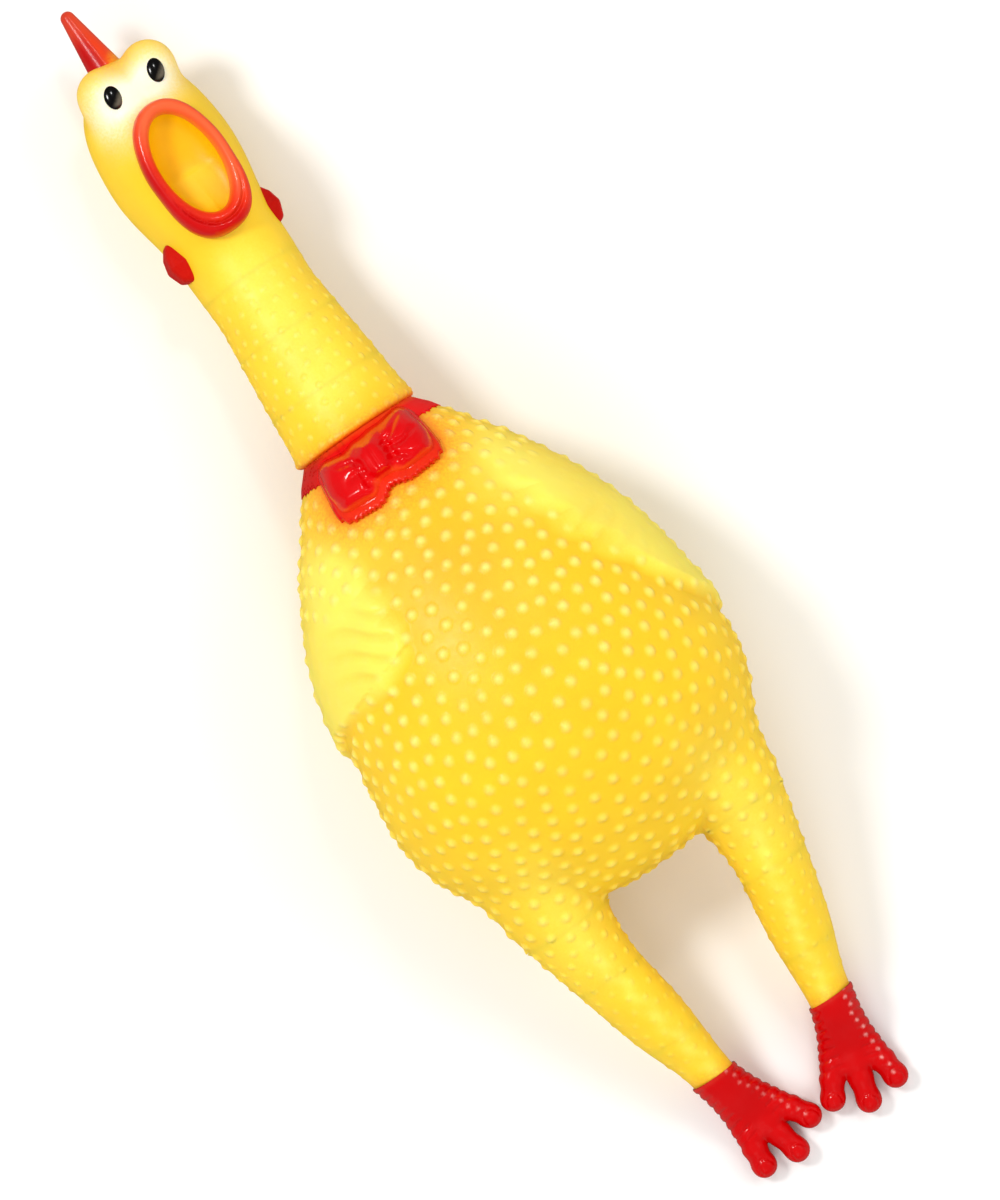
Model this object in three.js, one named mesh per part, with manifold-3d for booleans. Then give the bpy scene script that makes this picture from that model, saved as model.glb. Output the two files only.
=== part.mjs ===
// A squeaking rubber chicken that lies on its back: a hollow soft skin, cut into the lengths that bend,
// and the reed sounder that is pushed into its throat. Millimetres, +Z up out of the belly, +Y to the head.
import * as THREE from 'three';
import { mergeVertices } from 'three/addons/utils/BufferGeometryUtils.js';
import Module from 'manifold-3d';

const wasm = await Module();
wasm.setup();

// Skin and clearances
const wall = 2.5;
const gap = 0.3;
const pushGap = 0.5;

// Torso, from the lower edge of the collar down to the rump
const torso = { length: 112, halfWidth: 44.5, depth: 66 };
const belly = { centre: 55, halfWidth: 30, halfLength: 34 };
const wing = { start: 9, length: 62, halfHeight: 15, height: 31, relief: 2.2 };

// Collar, bow tie and neck
const collar = { height: 6.5, flare: 4, axisHeight: 26.5, flatten: 0.8 };
const bow = { loopHalfWidth: 6.4, loopHalfLength: 7.1, knotHalfWidth: 3.2, knotHalfLength: 4.6, rise: 3.6 };
const neck = { length: 46, baseRadius: 15.8, topRadius: 11.3, fold: 9 };

// Head, turned a little about the line of the neck
const head = { length: 53, halfWidth: 15.4, depth: 34, turn: THREE.MathUtils.degToRad(12) };
const mouth = { centre: 23.2, halfWidth: 7.5, halfLength: 12.3, depth: 12, lip: 3.4, lipBelow: 4.6, lipRise: 3.4 };
const eye = { along: 45.6, apart: 11.6, halfWidth: 1.9, halfLength: 2.7 };
const brow = { along: 48.2, apart: 12.8, height: 24.5, radius: 6.4 };
const comb = { height: 15.6, halfWidth: 4.5, tipHalfWidth: 2, length: 22 };
const wattle = { along: 6.7, halfWidth: 3.8, halfLength: 4.8, halfDepth: 6.4 };

// Legs and feet
const leg = { length: 47.5, hipSpacing: 47.8, ankleSpacing: 31.6, hipRadius: 10.4, ankleRadius: 5.2 };
const legFold = { hip: 9, knee: 9, ankle: 7 };
const legHeight = { hip: 25.3, ankle: 10.5 };
const foot = { palm: 17, palmHalfWidth: 7.9, toeIn: THREE.MathUtils.degToRad(13.5) };
const toe = { middle: 29.6, side: 25.4, spread: 6.9, radius: 2.8 };

// Sounder: a tube with a cap, and a reed clamped on its trough by a wedge
const sounder = { length: 19, wall: 1.2, capHole: 2.6 };
const seal = { clearance: 0.9, thickness: 1.1, length: 4 };
const reed = { length: 12, width: 3.6, thickness: 0.35, lift: 0.9, trough: 2.6, troughWall: 0.9, wedge: 3 };

// Places along Y, measured from the lower edge of the collar
const collarTop = collar.height;
const neckTop = collarTop + neck.length;
const crown = neckTop + head.length;
const combTip = crown + comb.height;
const hipCut = -(torso.length + pushGap);
const ankle = hipCut - leg.length;
const headAxis = head.depth / 2;

// Heights of the neck's line at its top, and of the sounder's axis
const throatDrop = 1;
const neckTopHeight = headAxis + throatDrop;
const neckSlope = (collar.axisHeight - neckTopHeight) / neck.length;
const sounderHeight = neckTopHeight + (neckSlope * seal.length) / 2;
const sealRadius = neck.topRadius - wall - seal.clearance;
const sounderRadius = sealRadius - seal.thickness - gap;

function paint(color, roughness) {
  return new THREE.MeshStandardMaterial({ color, roughness, metalness: 0 });
}

const yellowVinyl = paint(0xffc830, 0.42);
const redVinyl = paint(0xd8141c, 0.3);
const lipVinyl = paint(0xe2481c, 0.35);
const combVinyl = paint(0xd83a1e, 0.35);
const eyePaint = paint(0x15110f, 0.15);
const sounderPlastic = paint(0xf2efe6, 0.4);
const reedPlastic = paint(0xe8d9b0, 0.3);

// ---- solids ----

function signedVolume(position, index) {
  const [a, b, c] = [new THREE.Vector3(), new THREE.Vector3(), new THREE.Vector3()];
  let sum = 0;
  for (let i = 0; i < index.length; i += 3) {
    a.fromBufferAttribute(position, index[i]);
    b.fromBufferAttribute(position, index[i + 1]);
    c.fromBufferAttribute(position, index[i + 2]);
    sum += a.dot(b.cross(c));
  }
  return sum / 6;
}

// Turns a closed three.js geometry into a solid with its faces pointing out.
function solidOf(geometry) {
  geometry.deleteAttribute('normal');
  geometry.deleteAttribute('uv');
  const merged = mergeVertices(geometry, 1e-4);
  const position = merged.attributes.position;
  const kept = [];
  for (let i = 0; i < merged.index.count; i += 3) {
    const corners = [0, 1, 2].map((k) => merged.index.getX(i + k));
    if (new Set(corners).size === 3) kept.push(...corners);
  }
  if (signedVolume(position, kept) < 0) kept.reverse();
  return new wasm.Manifold(new wasm.Mesh({
    numProp: 3,
    vertProperties: new Float32Array(position.array),
    triVerts: new Uint32Array(kept),
  }));
}

function geometryOf(solid) {
  const mesh = solid.getMesh();
  const geometry = new THREE.BufferGeometry();
  geometry.setAttribute('position', new THREE.BufferAttribute(mesh.vertProperties, mesh.numProp));
  geometry.setIndex(new THREE.BufferAttribute(mesh.triVerts, 1));
  return geometry;
}

function piece(name, solid, material) {
  const geometry = geometryOf(solid);
  geometry.computeVertexNormals();
  const mesh = new THREE.Mesh(geometry, material);
  mesh.name = name;
  return mesh;
}

function union(solids) {
  return solids.reduce((sum, next) => sum.add(next));
}

function block(x, y, z) {
  const size = [x, y, z].map(([low, high]) => high - low);
  const middle = [x, y, z].map(([low, high]) => (high + low) / 2);
  return solidOf(new THREE.BoxGeometry(...size).translate(...middle));
}

const far = 400;
const wide = [-far, far];

function between(solid, low, high) {
  return solid.intersect(block(wide, [low, high], wide));
}

function aboveTable(solid) {
  return solid.intersect(block(wide, wide, [0, far]));
}

function mirrored(geometry) {
  return geometry.clone().scale(-1, 1, 1);
}

// Moves each vertex of a geometry to where the function puts it.
function warp(geometry, place) {
  const position = geometry.attributes.position;
  const point = new THREE.Vector3();
  for (let i = 0; i < position.count; i += 1) {
    point.fromBufferAttribute(position, i);
    place(point);
    position.setXYZ(i, point.x, point.y, point.z);
  }
  return geometry;
}

// A solid through elliptical sections. Each section has its place y, its centre x and z, and its half sizes
// w and h. grow moves the surface out, and startMove and endMove shift the two ends along Y.
function loft(sections, { grow = 0, startMove = 0, endMove = 0, rings = 1, sides = 20 } = {}) {
  const centres = sections.map((s) => new THREE.Vector3(s.x ?? 0, s.y, s.z));
  const halves = sections.map((s) => new THREE.Vector3(s.w, 0, s.h));
  const centreLine = new THREE.CatmullRomCurve3(centres, false, 'catmullrom');
  const sizeLine = new THREE.CatmullRomCurve3(halves, false, 'catmullrom');
  const count = rings * (sections.length - 1);
  const profile = [new THREE.Vector2(0, 0)];
  for (let i = 0; i <= count; i += 1) profile.push(new THREE.Vector2(1, i / count));
  profile.push(new THREE.Vector2(0, 1));
  const leastRadius = 0.6;
  return solidOf(warp(new THREE.LatheGeometry(profile, sides), (point) => {
    const centre = centreLine.getPoint(point.y);
    const half = sizeLine.getPoint(point.y);
    const move = (point.y === 0 ? startMove : 0) + (point.y === 1 ? endMove : 0);
    point.set(
      centre.x + point.x * Math.max(half.x + grow, leastRadius),
      centre.y + move,
      centre.z + point.z * Math.max(half.z + grow, leastRadius),
    );
  }));
}

// A solid of revolution about Z, stretched to an ellipse. The profile's first number is a share of the radius.
function ellipticLathe(profile, halfX, halfY, sides = 24) {
  const points = profile.map(([share, height]) => new THREE.Vector2(share, height));
  const geometry = new THREE.LatheGeometry(points, sides).rotateX(Math.PI / 2);
  return geometry.scale(halfX, halfY, 1);
}

function ellipsoid([rx, ry, rz], [x, y, z], tilt = 0) {
  return new THREE.SphereGeometry(1, 12, 8).scale(rx, ry, rz).rotateZ(tilt).translate(x, y, z);
}

function tubeAlongY(innerRadius, outerRadius, low, high, sides = 18) {
  const corners = [[innerRadius, low], [outerRadius, low], [outerRadius, high], [innerRadius, high]];
  const profile = [...corners, corners[0]].map(([r, y]) => new THREE.Vector2(r, y));
  return new THREE.LatheGeometry(profile, sides);
}

// ---- section tables, as shares of the driving dimensions ----

// along the torso, half width, lowest and highest point
const torsoShares = [
  [0.098, 0.607, 0.060, 0.765], [0.223, 0.775, 0.008, 0.868], [0.402, 0.910, -0.012, 0.968],
  [0.563, 0.966, -0.015, 1.000], [0.714, 1.000, -0.010, 0.955], [0.830, 0.900, 0.020, 0.860],
  [0.911, 0.700, 0.082, 0.728], [0.964, 0.440, 0.180, 0.590], [1.000, 0.050, 0.360, 0.400],
];

// The section at the lower edge of the collar, which the torso and the neck share.
function collarSection() {
  const rim = neck.baseRadius + collar.flare;
  return { y: 0, z: collar.axisHeight, w: rim, h: rim - collar.flatten };
}

function torsoSections() {
  const sections = [collarSection()];
  for (const [along, width, low, high] of torsoShares) {
    sections.push({
      y: -along * torso.length,
      z: ((low + high) / 2) * torso.depth,
      w: width * torso.halfWidth,
      h: ((high - low) / 2) * torso.depth,
    });
  }
  return sections;
}

function neckSections() {
  return [
    collarSection(),
    { y: collarTop, z: collar.axisHeight, w: neck.baseRadius, h: neck.baseRadius - collar.flatten / 2 },
    ...[0.25, 0.5, 0.75, 1].map((share) => {
      const radius = THREE.MathUtils.lerp(neck.baseRadius, neck.topRadius, share);
      const height = THREE.MathUtils.lerp(collar.axisHeight, neckTopHeight, share);
      return { y: collarTop + share * neck.length, z: height, w: radius, h: radius };
    }),
  ];
}

// along the head, half width and half depth
const headShares = [
  [0.12, 0.76, 0.74], [0.22, 0.84, 0.84], [0.33, 0.92, 0.93], [0.49, 1.00, 1.00],
  [0.70, 0.90, 0.97], [0.84, 0.76, 0.80], [0.94, 0.52, 0.52], [1.00, 0.12, 0.12],
];

function headSections() {
  const sections = [{ y: neckTop, z: neckTopHeight, w: neck.topRadius, h: neck.topRadius }];
  for (const [along, width, depth] of headShares) {
    sections.push({
      y: neckTop + along * head.length,
      z: headAxis,
      w: width * head.halfWidth,
      h: depth * headAxis,
    });
  }
  return sections;
}

// along the leg, then shares between ankle and hip for the place across, the radius and the height
const legShares = [
  [-0.58, 0.52, 1.60, 1.18], [-0.26, 0.89, 1.38, 1.10], [0.00, 1.00, 1.00, 1.00], [0.21, 0.90, 0.68, 0.84],
  [0.51, 0.56, 0.54, 0.55], [0.72, 0.32, 0.35, 0.31], [1.00, 0.00, 0.00, 0.00],
];

function legSections(side) {
  return legShares.map(([along, across, thick, high]) => {
    const radius = THREE.MathUtils.lerp(leg.ankleRadius, leg.hipRadius, thick);
    const x = THREE.MathUtils.lerp(leg.ankleSpacing, leg.hipSpacing, across) / 2;
    return {
      x: side * x,
      y: hipCut - along * leg.length,
      z: THREE.MathUtils.lerp(legHeight.ankle, legHeight.hip, high),
      w: radius,
      h: radius * 1.05,
    };
  });
}

// ---- pieces ----

const sides = [['left', 1], ['right', -1]];
const model = new THREE.Group();

function bellyPlug(clearance) {
  const low = torso.depth / 2;
  const profile = [[0, low], [1, low], [1, far], [0, far]];
  const plug = ellipticLathe(profile, belly.halfWidth - clearance, belly.halfLength - clearance, 32);
  return solidOf(plug.translate(0, -belly.centre, 0));
}

function addTorso() {
  const sections = torsoSections();
  const outside = union([
    loft(sections),
    ...sides.map(([, side]) => between(loft(legSections(side), { sides: 16 }), hipCut, far)),
  ]);
  const inside = union([
    loft(sections, { grow: -wall, startMove: 1, endMove: wall }),
    ...sides.map(([, side]) => loft(legSections(side), { grow: -wall, sides: 16 })),
  ]);
  const skin = aboveTable(outside).subtract(inside.intersect(block(wide, wide, [wall, far])));
  model.add(piece('torso_shell', skin.subtract(bellyPlug(0)), yellowVinyl));
  model.add(piece('belly_panel', skin.intersect(bellyPlug(pushGap)), yellowVinyl));
}

// A pad in relief on the flank, with a leaf outline seen from the side.
function wingOutline() {
  const outline = new THREE.Shape();
  const { start, length, halfHeight } = wing;
  outline.moveTo(-start, -halfHeight * 0.3);
  outline.quadraticCurveTo(-start, halfHeight * 0.9, -start - length * 0.35, halfHeight);
  outline.quadraticCurveTo(-start - length * 0.75, halfHeight, -start - length, halfHeight * 0.2);
  outline.quadraticCurveTo(-start - length * 0.6, -halfHeight, -start - length * 0.3, -halfHeight);
  outline.quadraticCurveTo(-start - length * 0.08, -halfHeight, -start, -halfHeight * 0.3);
  return outline;
}

function addWings() {
  const prism = new THREE.ExtrudeGeometry(wingOutline(), { depth: far, bevelEnabled: false, curveSegments: 6 });
  const sideways = new THREE.Matrix4().makeBasis(
    new THREE.Vector3(0, 1, 0), new THREE.Vector3(0, 0, 1), new THREE.Vector3(1, 0, 0),
  );
  prism.applyMatrix4(sideways).translate(1, 0, wing.height);
  const sections = torsoSections();
  const raised = loft(sections, { grow: gap + wing.relief }).subtract(loft(sections, { grow: gap }));
  for (const [name, side] of sides) {
    const outline = solidOf(side > 0 ? prism.clone() : mirrored(prism));
    model.add(piece(`wing_${name}`, raised.intersect(outline), yellowVinyl));
  }
}

function neckWall() {
  const sections = neckSections();
  return loft(sections).subtract(loft(sections, { grow: -wall, startMove: -1, endMove: 1 }));
}

function addCollarAndBow() {
  const sections = neckSections();
  model.add(piece('collar_band', between(neckWall(), gap, collarTop), redVinyl));
  const under = loft(sections, { grow: gap }).add(loft(torsoSections(), { grow: gap }));
  const top = collar.axisHeight + neck.baseRadius + collar.flare;
  const middle = collarTop - bow.loopHalfLength;
  const knotSize = [bow.knotHalfWidth, bow.knotHalfLength, bow.rise + 2];
  const knotPlace = [0, middle, top - 0.5];
  const knot = solidOf(ellipsoid(knotSize, knotPlace));
  const knotRoom = solidOf(ellipsoid(knotSize.map((half) => half + gap), knotPlace));
  model.add(piece('bow_knot', knot.subtract(under), redVinyl));
  for (const [name, side] of sides) {
    const place = [side * (bow.loopHalfWidth + bow.knotHalfWidth * 0.3), middle, top - 2.4];
    const loop = solidOf(ellipsoid([bow.loopHalfWidth, bow.loopHalfLength, bow.rise + 2.6], place));
    const half = loop.intersect(block(side > 0 ? [gap, far] : [-far, -gap], wide, wide));
    model.add(piece(`bow_loop_${name}`, half.subtract(under).subtract(knotRoom), redVinyl));
  }
}

// Cuts a tube across Y into its named lengths, with a gap between one and the next.
function addLengths(tube, start, direction, lengths) {
  let from = start;
  for (const [name, length] of lengths) {
    const ends = [from + direction * gap, from + direction * length].sort((a, b) => a - b);
    model.add(piece(name, between(tube, ...ends), yellowVinyl));
    from += direction * length;
  }
}

function addNeck() {
  const ring = neck.length / 3 - neck.fold;
  const lengths = ['lower', 'middle', 'upper'].flatMap((place) => [
    [`neck_fold_${place}`, neck.fold], [`neck_ring_${place}`, ring],
  ]);
  addLengths(neckWall(), collarTop, 1, lengths);
}

function mouthShape(grow) {
  const low = head.depth - mouth.depth - grow;
  const profile = [[0, low], [0.7, low + 0.8], [0.94, low + 3.4], [1, low + 6], [1, far], [0, far]];
  const bowl = ellipticLathe(profile, mouth.halfWidth + grow, mouth.halfLength + grow);
  return solidOf(bowl.translate(0, neckTop + mouth.centre, 0));
}

function headOutside(grow) {
  const radius = brow.radius + grow;
  const brows = sides.map(([, side]) => {
    const place = [(side * brow.apart) / 2, neckTop + brow.along, brow.height];
    return solidOf(ellipsoid([radius, radius, radius], place));
  });
  return union([loft(headSections(), { grow, startMove: -grow, endMove: grow }), ...brows]);
}

function makeHeadShell() {
  const hollow = loft(headSections(), { grow: -wall, startMove: -1, endMove: -wall }).subtract(mouthShape(wall));
  const outletLow = neckTop + mouth.centre - mouth.halfLength - wall - 1;
  const outlet = tubeAlongY(0, sounder.capHole, outletLow, outletLow + wall + 4);
  outlet.translate(0, 0, head.depth - mouth.depth + sounder.capHole);
  const skin = aboveTable(headOutside(0)).subtract(hollow).subtract(mouthShape(0)).subtract(solidOf(outlet));
  return between(skin, neckTop + gap, far);
}

// The lips: a raised ring round the mouth, thicker below.
function makeLips() {
  const rise = mouth.lipRise;
  const profile = [[0, -8], [1, -8], [1, 0], [0.78, 0.8 * rise], [0.45, rise], [0.15, 0.8 * rise], [0, 0.2], [0, -8]];
  const points = profile.map(([share, height]) => new THREE.Vector2(1 + share, height));
  const ring = new THREE.LatheGeometry(points, 26).rotateX(Math.PI / 2);
  warp(ring, (point) => {
    const radius = Math.hypot(point.x, point.y);
    const [ux, uy] = [point.x / radius, point.y / radius];
    const share = radius - 1;
    const below = THREE.MathUtils.lerp(mouth.lip, mouth.lipBelow, Math.max(0, -uy));
    point.x = ux * (mouth.halfWidth + share * mouth.lip);
    point.y = uy * (mouth.halfLength + share * below);
  });
  ring.translate(0, neckTop + mouth.centre, head.depth);
  return solidOf(ring).subtract(headOutside(gap));
}

// The comb: a fin in the middle plane with three lobes, thinner at its tips.
function combOutline() {
  const outline = new THREE.Shape();
  const low = crown - comb.height * 0.9;
  const front = headAxis + comb.length * 0.28;
  const back = front - comb.length;
  outline.moveTo(low, front);
  outline.quadraticCurveTo(crown, front + 1, combTip, front - comb.length * 0.12);
  outline.quadraticCurveTo(combTip + 0.5, front - comb.length * 0.24, crown + 4.5, front - comb.length * 0.36);
  outline.quadraticCurveTo(combTip - 2.5, front - comb.length * 0.5, crown + 2.5, front - comb.length * 0.62);
  outline.quadraticCurveTo(combTip - 6, front - comb.length * 0.8, crown - 1, back);
  outline.lineTo(low, back + 3);
  return outline;
}

function makeComb() {
  const options = { depth: 2, steps: 2, bevelEnabled: false, curveSegments: 5 };
  const fin = new THREE.ExtrudeGeometry(combOutline(), options).translate(0, 0, -1);
  const upright = new THREE.Matrix4().makeBasis(
    new THREE.Vector3(0, 1, 0), new THREE.Vector3(0, 0, 1), new THREE.Vector3(1, 0, 0),
  );
  warp(fin.applyMatrix4(upright), (point) => {
    const rise = THREE.MathUtils.clamp((point.y - crown) / comb.height, 0, 1);
    point.x *= THREE.MathUtils.lerp(comb.halfWidth, comb.tipHalfWidth, rise);
  });
  return solidOf(fin).subtract(headOutside(gap));
}

function addHead() {
  const turned = new THREE.Group();
  const parts = new THREE.Group();
  turned.position.z = headAxis;
  turned.rotation.y = head.turn;
  parts.position.z = -headAxis;
  turned.add(parts);
  const room = headOutside(gap);
  parts.add(piece('head_shell', makeHeadShell(), yellowVinyl));
  parts.add(piece('mouth_lips', makeLips(), lipVinyl));
  parts.add(piece('comb', makeComb(), combVinyl));
  for (const [name, side] of sides) {
    const drop = brow.along - eye.along;
    const height = brow.height + Math.sqrt(brow.radius ** 2 - drop ** 2);
    const lens = ellipsoid([eye.halfWidth, eye.halfLength, 1.4], [0, 0, 0], -side * 0.3);
    lens.translate((side * eye.apart) / 2, neckTop + eye.along, height);
    parts.add(piece(`eye_${name}`, solidOf(lens).subtract(room), eyePaint));
    const size = [wattle.halfWidth, wattle.halfLength, wattle.halfDepth];
    const place = [side * (neck.topRadius + 1.2), neckTop + wattle.along, neckTopHeight];
    parts.add(piece(`wattle_${name}`, solidOf(ellipsoid(size, place)).subtract(room), redVinyl));
  }
  model.add(turned);
}

function footSections() {
  const rise = legHeight.ankle;
  const low = toe.radius;
  const radius = leg.ankleRadius;
  return [
    { y: 0, z: 0, w: radius, h: radius * 1.05 },
    { y: -foot.palm * 0.35, z: (low - rise) * 0.35, w: radius * 1.02, h: radius * 0.95 },
    { y: -foot.palm * 0.7, z: (low - rise) * 0.75, w: foot.palmHalfWidth * 0.82, h: low * 1.35 },
    { y: -foot.palm, z: low - rise, w: foot.palmHalfWidth * 0.95, h: low },
    { y: -foot.palm - 1.5, z: low - rise, w: foot.palmHalfWidth * 0.6, h: low * 0.5 },
  ];
}

function toeSections(tipX, tipY) {
  const low = toe.radius - legHeight.ankle;
  const root = foot.palm * 0.8;
  const at = (share, radius) => ({
    x: tipX * THREE.MathUtils.lerp(0.62, 1, share),
    y: -THREE.MathUtils.lerp(root, tipY, share),
    z: low,
    w: radius,
    h: radius,
  });
  return [at(0, toe.radius * 0.9), at(0.4, toe.radius * 0.92), at(0.75, toe.radius), at(0.94, toe.radius * 0.8),
    at(1, toe.radius * 0.25)];
}

function addFoot(name, side) {
  const toes = [[-toe.spread, toe.side], [0, toe.middle], [toe.spread, toe.side]];
  const solid = union([
    loft(footSections(), { sides: 14 }),
    ...toes.map(([x, y]) => loft(toeSections(x, y), { sides: 10 })),
  ]);
  const shape = geometryOf(solid);
  shape.rotateZ(-side * foot.toeIn).translate(side * leg.ankleSpacing / 2, ankle, legHeight.ankle);
  model.add(piece(`foot_${name}`, aboveTable(between(solidOf(shape), -far, ankle - gap)), redVinyl));
}

function addLegs() {
  const straight = (leg.length - legFold.hip - legFold.knee - legFold.ankle) / 2;
  for (const [name, side] of sides) {
    const sections = legSections(side);
    const tube = loft(sections, { sides: 16 }).subtract(loft(sections, { grow: -wall, sides: 16 }));
    addLengths(tube, hipCut, -1, [
      [`hip_fold_${name}`, legFold.hip],
      [`thigh_${name}`, straight],
      [`knee_fold_${name}`, legFold.knee],
      [`shank_${name}`, straight],
      [`ankle_fold_${name}`, legFold.ankle],
    ]);
    addFoot(name, side);
  }
}

// The sounder lies along the throat. Air comes in through its cap and leaves over the reed into the mouth.
function addSounder() {
  const top = neckTop + mouth.centre - mouth.halfLength - wall - 2 * gap;
  const low = top - sounder.length;
  const bore = sounderRadius - sounder.wall;
  const parts = new THREE.Group();
  parts.position.z = sounderHeight;
  const capThickness = 1.6;
  const floor = low + capThickness;
  const add = (name, geometry, material) => parts.add(piece(name, solidOf(geometry), material));
  add('sounder_tube', tubeAlongY(bore, sounderRadius, floor + gap, top), sounderPlastic);
  add('sounder_cap', tubeAlongY(sounder.capHole, sounderRadius, low, floor), sounderPlastic);
  add('throat_seal', tubeAlongY(sounderRadius + gap, sealRadius, neckTop - seal.length, neckTop), sounderPlastic);
  const trough = new THREE.Shape();
  trough.absarc(0, 0, reed.trough, Math.PI, 2 * Math.PI, false);
  trough.absarc(0, 0, reed.trough - reed.troughWall, 2 * Math.PI, Math.PI, true);
  const gutter = new THREE.ExtrudeGeometry(trough, { depth: reed.length, bevelEnabled: false, curveSegments: 6 });
  add('reed_trough', gutter.rotateX(-Math.PI / 2).scale(1, 1, -1).translate(0, floor + gap, 0), sounderPlastic);
  const tongue = new THREE.BoxGeometry(reed.width, reed.length, reed.thickness);
  tongue.rotateX(Math.asin(reed.lift / reed.length));
  tongue.translate(0, floor + gap + reed.length / 2, gap + (reed.thickness + reed.lift) / 2);
  add('reed_tongue', tongue, reedPlastic);
  const wedgeLow = 3 * gap + reed.thickness;
  const wedgeTop = Math.sqrt(bore ** 2 - (reed.width / 2) ** 2) - gap;
  const wedge = new THREE.BoxGeometry(reed.width, reed.wedge, wedgeTop - wedgeLow);
  wedge.translate(0, floor + gap + reed.wedge / 2, (wedgeLow + wedgeTop) / 2);
  add('reed_wedge', wedge, sounderPlastic);
  model.add(parts);
}

addTorso();
addWings();
addCollarAndBow();
addNeck();
addHead();
addLegs();
addSounder();

// The origin is on the table, under the middle of the whole length.
const bounds = new THREE.Box3().setFromObject(model, true);
model.position.y = -(bounds.min.y + bounds.max.y) / 2;

const group = new THREE.Group();
group.add(model);
export default group;
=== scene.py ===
import math
import bmesh
import bpy
import numpy as np
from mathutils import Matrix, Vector, kdtree


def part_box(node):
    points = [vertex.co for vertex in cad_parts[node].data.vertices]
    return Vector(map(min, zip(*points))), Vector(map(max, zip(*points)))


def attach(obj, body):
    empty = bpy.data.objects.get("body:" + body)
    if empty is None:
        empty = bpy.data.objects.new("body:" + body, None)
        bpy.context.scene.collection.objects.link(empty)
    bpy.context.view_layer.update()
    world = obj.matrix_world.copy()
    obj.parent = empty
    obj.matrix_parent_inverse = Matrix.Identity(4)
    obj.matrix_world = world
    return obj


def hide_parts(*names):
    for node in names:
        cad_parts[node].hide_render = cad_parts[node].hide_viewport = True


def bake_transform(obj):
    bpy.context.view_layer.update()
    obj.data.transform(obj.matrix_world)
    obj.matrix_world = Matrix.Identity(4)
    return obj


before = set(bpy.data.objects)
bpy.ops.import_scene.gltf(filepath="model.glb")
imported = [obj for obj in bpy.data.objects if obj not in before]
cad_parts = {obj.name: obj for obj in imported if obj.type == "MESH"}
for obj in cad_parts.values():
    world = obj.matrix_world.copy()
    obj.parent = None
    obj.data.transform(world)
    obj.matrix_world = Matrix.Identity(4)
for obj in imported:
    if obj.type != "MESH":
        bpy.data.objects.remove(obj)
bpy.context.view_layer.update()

mm = 0.001

# shapes are worked out in millimetres, in the frame's own axes, and scaled when an object is made


def boxMm(node):
    low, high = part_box(node)
    return np.array(low) / mm, np.array(high) / mm


# places that come from the frame
gap = 0.3
collarY = boxMm("collar_band")[0][1] - gap
collarTopY = boxMm("neck_fold_lower")[0][1] - gap
neckTopY = boxMm("head_shell")[0][1] - gap
hipY = boxMm("hip_fold_left")[1][1] + gap
ankleY = boxMm("foot_left")[1][1] + gap
toeTipY = boxMm("foot_left")[0][1]
halfWidth = boxMm("torso_shell")[1][0]
bellyTop = boxMm("belly_panel")[1][2]
headAxisZ = 17.0
collarAxisZ = sum(boxMm("collar_band"))[2] / 2
hipX = (boxMm("hip_fold_left")[0][0] + boxMm("hip_fold_left")[1][0]) / 2
ankleX = (boxMm("ankle_fold_left")[0][0] + boxMm("ankle_fold_left")[1][0]) / 2 - 0.7


def middleY(node):
    low, high = boxMm(node)
    return (low[1] + high[1]) / 2


# a natural cubic spline through rows of y and its values, sampled along y with its slopes
def splineTable(rows, step=0.5):
    rows = np.array(sorted(rows), float)
    y, v = rows[:, 0], rows[:, 1:]
    n = len(y)
    h = np.diff(y)
    a = np.eye(n)
    b = np.zeros_like(v)
    for i in range(1, n - 1):
        a[i, i - 1:i + 2] = h[i - 1], 2 * (h[i - 1] + h[i]), h[i]
        b[i] = 6 * ((v[i + 1] - v[i]) / h[i] - (v[i] - v[i - 1]) / h[i - 1])
    m = np.linalg.solve(a, b)
    at = np.arange(y[0], y[-1] + step / 2, step)
    k = np.clip(np.searchsorted(y, at, side="right") - 1, 0, n - 2)
    t = (at - y[k])[:, None]
    w = (y[k + 1] - at)[:, None]
    hk = h[k][:, None]
    out = m[k] * w ** 3 / (6 * hk) + m[k + 1] * t ** 3 / (6 * hk)
    out += (v[k] / hk - m[k] * hk / 6) * w + (v[k + 1] / hk - m[k + 1] * hk / 6) * t
    return {"y": at, "v": out, "d": np.gradient(out, step, axis=0)}


def look(table, y, column, slope=False):
    source = table["d"] if slope else table["v"]
    return np.interp(y, table["y"], source[:, column])


def smoothMin(a, b, k):
    h = np.clip(0.5 + 0.5 * (b - a) / k, 0, 1)
    return b + (a - b) * h - k * h * (1 - h)


def smoothMax(a, b, k):
    return -smoothMin(-a, -b, k)


def smoothStep(start, end, x):
    t = np.clip((x - start) / (end - start), 0, 1)
    return t * t * (3 - 2 * t)


def ellipsoidField(p, centre, radii):
    q = (p - centre) / radii
    k0 = np.linalg.norm(q, axis=1)
    k1 = np.linalg.norm(q / radii, axis=1) + 1e-9
    return k0 * (k0 - 1) / k1


# a cone with round ends between two points
def capsuleField(p, a, b, ra, rb):
    a, b = np.array(a, float), np.array(b, float)
    ab = b - a
    t = np.clip(((p - a) @ ab) / (ab @ ab), 0, 1)
    return np.linalg.norm(p - a - t[:, None] * ab, axis=1) - (ra + (rb - ra) * t)


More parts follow.
